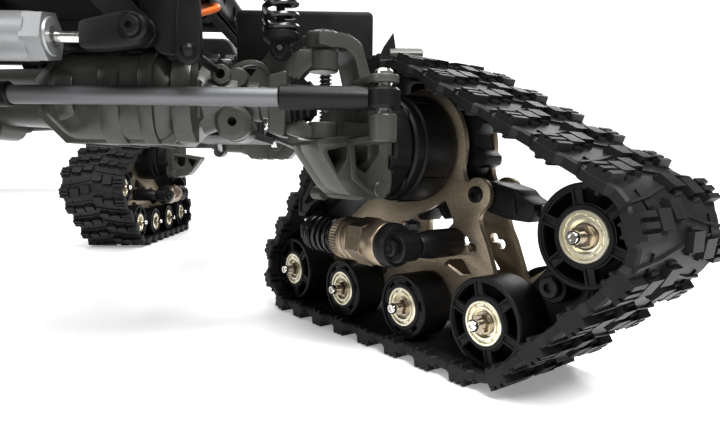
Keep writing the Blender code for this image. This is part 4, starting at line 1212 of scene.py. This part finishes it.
def link_shape(start, end, radius, end_radius):
    """A link between two points, with a moulded rod end at each."""
    bar, ends = new_shape(), new_shape()
    a, b = Vector(start), Vector(end)
    length = (b - a).length
    cylinder(bar, "X", (0.0, 0.0), 9.0, length - 9.0, radius, 24, 0.3)
    for x, way in ((0.0, 1), (length, -1)):
        cylinder(ends, "X", (0.0, 0.0), x + way * 3.0, x + way * 13.0, end_radius - 0.5, 24, 0.5)
        tube(ends, "Y", (x, 0.0), -3.0, 3.0, end_radius + 1.0, 1.8, 28, 0.6)
    turn = (b - a).to_track_quat("X", "Z").to_matrix().to_4x4()
    place_at = Matrix.Translation(a) @ turn
    for shape in (bar, ends):
        bmesh.ops.transform(shape, matrix=place_at, verts=shape.verts)
    return bar, ends


def build_suspension():
    body, rod, spring = shock_shapes()
    span = ((0, 0, 171.0), (0, 0, 123.0))
    for end, frame_matrix, way in (("front", FRONT_FRAME, 1), ("rear", REAR_FRAME, -1)):
        axle = f"{end}_axle"

        def add_link(name, start, finish, looks=(BLOCK_SOCKET, BLACK), tips_name="ends", radii=(2.3, 3.4)):
            bar, tips = link_shape(start, finish, *radii)
            stretched(f"{end}_{name}", bar, looks[0], "chassis", axle, frame_matrix, start, finish)
            stretched(f"{end}_{name}_{tips_name}", tips, looks[1], "chassis", axle, frame_matrix, start,
                      finish)

        for word, side in SIDES:
            matrix = frame_matrix @ Matrix.Translation((side * SHOCK_X, -way * SHOCK_Y, 0.0))
            shock = f"{end}_{word}_coilover"
            if end == "front":
                piece(f"{shock}_body", body, BLACK, "chassis", matrix, [f"{word}_shock_body"],
                      slot="satin_aluminium")
                piece(f"{shock}_rod", rod, BLACK, f"{word}_shock_rod", matrix, [f"{word}_shock_rod"])
            else:
                stretched(f"{shock}_body", body, BLACK, "chassis", axle, matrix, *span, "satin_aluminium")
                stretched(f"{shock}_rod", rod, BLACK, "chassis", axle, matrix, *span)
            stretched(f"{shock}_spring", spring, GLOSS, "chassis", axle, matrix, *span)
            add_link(f"{word}_lower_link", (side * 21.0, way * 112.0, 99.6), (side * 44.0, way * 4.0, 89.0))
            add_link(f"{word}_upper_link", (side * 20.0, way * 104.0, 131.0),
                     (side * 33.0, way * 8.0, 113.0))
        add_link("drive_shaft", (DIFF_X, way * 112.0, 112.0), (DIFF_X, way * 34.0, 99.0), (BLACK, STEEL),
                 "joints", (3.6, 5.2))


# ------------------------------------------------------------------ frame, gearbox, servo

RAIL_LOW, RAIL_MIDDLE = 136.0, 143.0
RAIL_FRONT, RAIL_REAR = -62.0, 428.0
CROSS_MEMBER_Y = (-54.0, 70.0, 296.0, 422.0)


@drawn
def frame_shape(shape):
    """Perforated C-section rails, cross members and shock towers."""
    for side in (-1, 1):
        rim = rounded(box_loop(-RAIL_REAR, RAIL_LOW, -RAIL_FRONT, RAIL_LOW + 14.0), 1.5, 2)
        holes = [circle((50.0 - 20.0 * i, RAIL_MIDDLE), 3.4 if i % 2 else 2.0, 20) for i in range(24)]
        sheet(shape, [rim] + holes, *sorted((side * 31.0, side * 33.0)), 0.3)
        for z in (RAIL_LOW, RAIL_LOW + 12.0):
            flange = rounded(box_loop(side * 26.0, RAIL_FRONT, side * 32.9, RAIL_REAR), 1.0, 2)
            sheet(shape, [flange], z, z + 2.0, 0.3, "Z")
        for y in TOWER_Y:
            tower = rounded([(-y - 12, 138.0), (-y + 12, 138.0), (-y + 8, SHOCK_TOP_H),
                             (-y - 8, SHOCK_TOP_H)], 2.0, 3)
            window = rounded([(-y - 7, 153.0), (-y + 7, 153.0), (-y + 5, 164.0), (-y - 5, 164.0)], 1.5, 2)
            bores = [circle((-y, 170.0), 3.0, 20)] + [circle((-y + f, 144.0), 1.4, 16) for f in (-6, 6)]
            sheet(shape, [tower, window] + bores, *sorted((side * 33.2, side * 36.4)), 0.3)
            ear = [(side * 35.0, 170.0), (side * 55.6, 176.0), (side * 55.6, SHOCK_TOP_H),
                   (side * 35.0, SHOCK_TOP_H)]
            slab(shape, ear, (1.0, 2), y - 4.8, y + 4.8, 0.5, "Y")
    for y in CROSS_MEMBER_Y:
        cylinder(shape, "X", (y, RAIL_MIDDLE), -31.2, 31.2, 3.4, 28, 0.3)
        for side in (-1, 1):
            tube(shape, "X", (y, RAIL_MIDDLE), *sorted((side * 27.0, side * 31.0)), 3.9, 3.0, 28, 0.3)


@drawn
def frame_screws(shape):
    for side in (-1, 1):
        for y in CROSS_MEMBER_Y:
            socket_screw(shape, "X", (y, RAIL_MIDDLE), side * 33.0, side, 2.6, 1.6, 2.0)
        for y in (-14.0, -2.0, 368.0, 380.0):
            socket_screw(shape, "X", (y, 144.0), side * 36.4, side, 2.0, 1.2, 1.5)
        for y in TOWER_Y:
            socket_screw(shape, "Y", (side * 59.0, 180.0), y - 4.8, -1, 1.6, 0.8, 1.2)


@drawn
def gearbox_shape(shape):
    """Slotted skid plate under a ribbed transfer case, hung from the rails."""
    pan = rounded(box_loop(-25.5, 110.0, 25.5, 240.0), 5.0, 4)
    slots = [long_slot(x, y, 1.6) for y in (118.0, 222.0, 231.0) for x in (-12.0, 12.0)]
    sheet(shape, [pan] + slots, 92.0, 94.6, 0.4, "Z")
    for x in (-25.5, 23.1):
        sheet(shape, [box_loop(x, 114.0, x + 2.4, 236.0)], 94.0, 97.0, 0.3, "Z")
    case = rounded([(-22.0, 96.0), (22.0, 96.0), (22.0, 132.0), (14.0, 150.0), (-14.0, 150.0),
                    (-22.0, 132.0)], 4.0, 4)
    sheet(shape, [case], 130.0, 215.0, 1.2, "Y")
    for y in (140.0, 156.0, 172.0, 188.0, 204.0):
        rib = rounded([(-22.6, 96.5), (22.6, 96.5), (22.6, 132.4), (14.4, 150.0), (-14.4, 150.0),
                       (-22.6, 132.4)], 4.0, 4)
        sheet(shape, [rib], y - 1.0, y + 1.0, 0.3, "Y")
    cylinder(shape, "Y", (DIFF_X, 112.0), 118.0, 228.0, 7.8, 36, 0.6)
    for y in (136.0, 198.0):
        slab(shape, box_loop(-33.0, 128.0, 33.0, 135.6), (1.0, 2), y, y + 10.0, 0.4, "Y")


@drawn
def tray_shape(shape):
    """Electronics tray on the rails ahead of the transfer case, with its ribbed box and strap."""
    floor = rounded(box_loop(-25.4, -58.0, 25.4, 62.0), 3.0, 3)
    slots = [long_slot(x, y, 1.8) for y in (-48.0, -38.0, 54.0) for x in (-12.0, 12.0)]
    sheet(shape, [floor] + slots, 150.2, 152.2, 0.4, "Z")
    hull = rounded([(-24.0, 137.6), (24.0, 137.6), (24.0, 162.0), (20.0, 166.0), (-20.0, 166.0),
                    (-24.0, 162.0)], 2.0, 3)
    sheet(shape, [hull], -20.0, 46.0, 0.8, "Y")
    for y in (-12.0, 0.0, 12.0, 24.0, 36.0):
        band = rounded([(-24.6, 137.0), (24.6, 137.0), (24.6, 162.2), (20.2, 166.6), (-20.2, 166.6),
                        (-24.6, 162.2)], 2.0, 3)
        sheet(shape, [band], y - 1.2, y + 1.2, 0.3, "Y")


def lead_shape():
    """Servo lead that loops from the servo to the electronics box."""
    points = [Vector((25.0 + 12.0 * sin(pi * i / 16), -14.0 + 1.6 * i, 124.0 + 1.2 * i - 0.03 * i * i))
              for i in range(17)]
    return wire("lead", points, 1.2)


@drawn
def motor_shape(shape):
    """Motor can with cooling slots and a bearing boss."""
    turned(shape, "Y", (0.0, MOTOR_H), [(214.0, 17.0), (214.8, 17.4), (250.0, 17.4), (251.0, 16.6),
                                        (252.0, 16.6), (252.6, 17.2), (258.0, 17.2), (260.0, 15.0),
                                        (260.0, 6.0), (262.0, 5.4)], 56)
    for spot in map(Vector, spots((0.0, MOTOR_H), 17.3, 8, 22)):
        for y in (218.0, 240.0):
            cylinder(shape, "Y", spot, y, y + 8.0, 0.8, 12, 0.3)


@drawn
def gearbox_screws(shape):
    for x in (-18.0, 18.0):
        for y in (126.0, 214.0, 236.0):
            socket_screw(shape, "Z", (x, y), 92.4, -1, 2.2, 0.4, 1.6)
    for y in (148.0, 164.0, 180.0, 196.0):
        for side in (-1, 1):
            socket_screw(shape, "X", (y, 122.0), side * 22.0, side, 2.2, 1.4, 1.6)


@drawn
def servo_shape(shape):
    """Servo on the axle with its lid, mounting ears and bracket."""
    block(shape, (-20.0, -33.0, 114.4), (24.0, -10.0, 131.6))
    block(shape, (-20.6, -33.6, 119.0), (24.6, -9.4, 120.0))
    block(shape, (-26.0, -25.6, 116.0), (30.0, -23.0, 129.6))
    for x in (-23.4, 27.4):
        for z in (119.4, 127.0):
            cylinder(shape, "Y", (x, z), -28.0, -21.0, 2.2, 20, 0.3)
    slab(shape, box_loop(-24.0, 109.0, -18.0, 129.8), (1.2, 2), -24.0, -12.0, 0.4, "Y")
    slab(shape, [(26.0, 109.0), (32.0, 109.0), (33.4, 129.8), (26.0, 129.8)], (1.2, 2), -24.0, -12.0, 0.4,
         "Y")
    cylinder(shape, "Y", (14.0, 124.0), -38.0, -32.0, 5.0, 32, 0.5)
    horn = arc((14.0, 124.0), 4.6, 60, 240, 12) + arc((24.0, 114.0), 4.4, 240, 420, 12)
    sheet(shape, [horn], -41.4, -38.0, 0.5, "Y")
    cover = rounded([(22.0, 131.0), (32.4, 131.0), (36.6, 112.0), (33.0, 107.6), (27.4, 108.6),
                     (22.0, 118.0)], 1.6, 3)
    sheet(shape, [cover], -37.6, -34.6, 0.4, "Y")
    link = arc((37.6, 108.8), 4.0, 170, 370, 14) + [(41.0, 122.0), (40.6, 130.0), (35.8, 130.0),
                                                    (34.6, 122.0)]
    sheet(shape, [link], -41.8, -38.6, 0.5, "Y")
    cylinder(shape, "Y", (37.6, 108.8), -39.0, -10.0, 1.5, 20, 0.2)


def steering_damper_shapes():
    """Steering damper across the front of the axle: cylinder, rod, rod ends and screws."""
    body, rod, ends = new_shape(), new_shape(), new_shape()
    centre = (-45.0, 111.2)
    lathe(body, "X", centre, [(-40.0, 0), (-40.0, 6.2), (-39.2, 6.9), (-4.4, 6.9), (-4.0, 6.4), (-4.0, 0)],
          48)
    prism(body, [(-y, z) for y, z in hexagon(centre, 13.0, 12)], -5.0, 0.4)
    lathe(body, "X", centre, [(0.2, 0), (0.2, 5.6), (1.0, 5.2), (1.0, 3.0), (-0.4, 3.0), (-0.4, 0)], 36)
    cylinder(rod, "X", centre, -1.0, 14.0, 1.65, 24, 0.2)
    eye = (24.0, 113.6)
    tip = [(9.0, 107.6), (9.0, 115.2), (19.0, 117.6), (22.0, 118.4), (26.0, 118.0), (28.4, 115.4),
           (28.6, 112.0), (26.0, 109.2), (22.0, 108.4), (16.0, 107.6)]
    sheet(ends, [rounded(tip, 1.6, 3)], -48.4, -41.8, 1.0, "Y")
    tube(ends, "Y", eye, -49.0, -41.6, 4.2, 2.0, 32, 0.7)
    tube(ends, "Y", (-45.5, 111.2), -48.6, -41.4, 4.6, 2.0, 32, 0.7)
    block(ends, (-44.0, -47.4, 108.4), (-39.0, -42.6, 114.0))
    sheet(ends, [rounded([(-51.0, 107.0), (-41.0, 107.0), (-22.0, 119.0), (-22.0, 126.0), (-30.0, 126.0),
                          (-51.0, 115.6)], 1.6, 3)], -41.0, -37.6, 0.4, "Y")
    block(ends, (-30.0, -38.0, 119.0), (-20.0, -24.6, 125.0))
    socket_screw(ends, "Y", eye, -48.8, -1, 2.9, 1.8, 2.0)
    socket_screw(ends, "Y", (-45.5, 111.2), -48.4, -1, 2.9, 1.8, 2.0)
    cylinder(rod, "Y", eye, -41.8, -36.0, 1.6, 20, 0.2)
    lathe(ends, "Y", (37.6, 108.8), [(-43.2, 0), (-42.8, 1.4), (-41.9, 2.2), (-41.0, 2.4), (-41.0, 0)], 28)
    return body, rod, ends


@drawn
def guard_shape(shape, side):
    """Rounded splash guard behind the steering fork and the body-mount outrigger behind it."""
    panel = rounded(box_loop(33.4, 120.0, 95.3, 145.8), 2.6, 4)
    sheet(shape, [[(side * x, z) for x, z in panel]], 53.0, 56.0, 0.5, "Y")
    arm = [(33.2, 137.0), (100.0, 133.0), (103.0, 139.8), (108.2, 147.4), (109.4, 140.0), (109.4, 131.2),
           (98.0, 128.6), (33.2, 136.4)]
    sheet(shape, [[(side * x, z) for x, z in arm]], 98.4, 102.4, 0.4, "Y")


@drawn
def outrigger_shape(shape, side):
    """Tube at the end of the body-mount outrigger."""
    tube(shape, "X", (100.4, 135.4), *sorted((side * 106.0, side * 124.0)), 4.1, 2.4, 32, 0.5)
    cylinder(shape, "X", (100.4, 135.4), *sorted((side * 108.0, side * 122.6)), 3.0, 24, 0.3)


def build_chassis():
    def add(body, name, shape, material, *replaced, **look):
        piece(name, shape, material, body, FRONT_FRAME, replaced, **look)

    add("chassis", "ladder_rails", frame_shape(), BLACK, "ladder_frame")
    add("chassis", "ladder_screws", frame_screws(), BLOCK_SOCKET)
    add("chassis", "transfer_case", gearbox_shape(), BLACK, "gearbox")
    add("chassis", "motor_can", motor_shape(), DAMP_GREY)
    add("chassis", "transfer_screws", gearbox_screws(), BLOCK_SOCKET)
    for word, side in SIDES:
        add("chassis", f"{word}_splash_guard", guard_shape(side), BLACK)
        add("chassis", f"{word}_outrigger_tube", outrigger_shape(side), GREY)
    add("chassis", "electronics_box", tray_shape(), BLACK)
    stretched("servo_lead", lead_shape(), ORANGE, "chassis", "front_axle", FRONT_FRAME, (30, 12, 136),
              (30, -14, 124))
    add("front_axle", "steering_servo", servo_shape(), BLACK, bevel=0.3)
    body, rod, ends = steering_damper_shapes()
    add("front_axle", "steering_damper_cylinder", body, DAMP_GREY)
    add("front_axle", "steering_damper_rod", rod, STEEL)
    add("front_axle", "steering_damper_ends", ends, BLACK)


# ------------------------------------------------------------------ camera, light, floor

FLOOR_HALF = 1.35
FLOOR_DROP = 0.0002
FLOOR_GLOW = 0.3
SKY_LIGHT, SKY_SEEN = 0.24, 1.3
LIGHTS = [
    ("key", (0.5, -1.0, 1.3), (0.08, -0.2, 0.05), (0.8, 0.5), 40),
    ("fill", (-0.9, -0.8, 0.7), (0.1, -0.2, 0.06), (0.5, 0.9), 6),
    ("back", (0.5, 1.3, 1.0), (0.1, -0.1, 0.1), (1.6, 0.5), 15),
    ("top", (0.0, -0.1, 1.5), (0.1, -0.1, 0.0), (1.2, 1.0), 22),
]
CAMERA_YAW, CAMERA_PITCH, CAMERA_ROLL = radians(1.2), radians(4.45), radians(0.56)
CAMERA_LENS = 28.18
CAMERA_PLACE = (0.0847, FRONT_Y - 0.2097, 0.0752)


def add_light(name, location, target, size, power):
    data = bpy.data.lights.new(name, "AREA")
    data.shape = "RECTANGLE"
    data.size, data.size_y = size
    data.energy = power
    item = bpy.data.objects.new(name, data)
    bpy.context.scene.collection.objects.link(item)
    item.location = location
    item.rotation_euler = (Vector(target) - Vector(location)).to_track_quat("-Z", "Y").to_euler()


def add_studio():
    """Pale floor that glows a little, white surroundings and four soft lights."""
    mesh = bpy.data.meshes.new("floor")
    shape = new_shape()
    bmesh.ops.create_grid(shape, x_segments=1, y_segments=1, size=FLOOR_HALF)
    shape.to_mesh(mesh)
    floor = bpy.data.objects.new("floor", mesh)
    bpy.context.scene.collection.objects.link(floor)
    floor.location = (0, 0, -FLOOR_DROP)
    paint = node_material("white_floor", (0.86, 0.86, 0.865), 0.35, grain=40, bump=0.0, tint=0.01)
    glow = paint.node_tree.nodes["Principled BSDF"]
    glow.inputs["Emission Color"].default_value = (1, 1, 1, 1)
    glow.inputs["Emission Strength"].default_value = FLOOR_GLOW
    mesh.materials.append(paint)
    world = bpy.data.worlds.new("studio")
    bpy.context.scene.world = world
    world.use_nodes = True
    tree = world.node_tree
    background = tree.nodes["Background"]
    background.inputs["Color"].default_value = (1, 1, 1, 1)
    path = tree.nodes.new("ShaderNodeLightPath")
    level = tree.nodes.new("ShaderNodeMapRange")
    level.inputs["To Min"].default_value = SKY_LIGHT
    level.inputs["To Max"].default_value = SKY_SEEN
    tree.links.new(path.outputs["Is Camera Ray"], level.inputs["Value"])
    tree.links.new(level.outputs["Result"], background.inputs["Strength"])
    for light in LIGHTS:
        add_light(*light)


def add_camera():
    """Wide-angle view from in front of the axle, low and level with the diff."""
    yaw, pitch, roll = CAMERA_YAW, CAMERA_PITCH, CAMERA_ROLL
    data = bpy.data.cameras.new("camera")
    data.sensor_width = 36.0
    data.lens = CAMERA_LENS
    data.clip_start = 0.01
    camera = bpy.data.objects.new("camera", data)
    bpy.context.scene.collection.objects.link(camera)
    forward = Vector((sin(yaw) * cos(pitch), cos(yaw) * cos(pitch), -sin(pitch)))
    level = Vector((cos(yaw), -sin(yaw), 0.0))
    up = level.cross(forward)
    right = level * cos(roll) + up * sin(roll)
    over = right.cross(forward)
    turn = Matrix((right, over, -forward)).transposed().to_4x4()
    camera.matrix_world = Matrix.Translation(CAMERA_PLACE) @ turn
    bpy.context.scene.camera = camera


add_studio()
add_camera()
build_units()
build_steering()
build_axles()
build_suspension()
build_chassis()
bpy.context.scene.view_settings.view_transform = "Standard"
bpy.context.scene.view_settings.gamma = 0.86
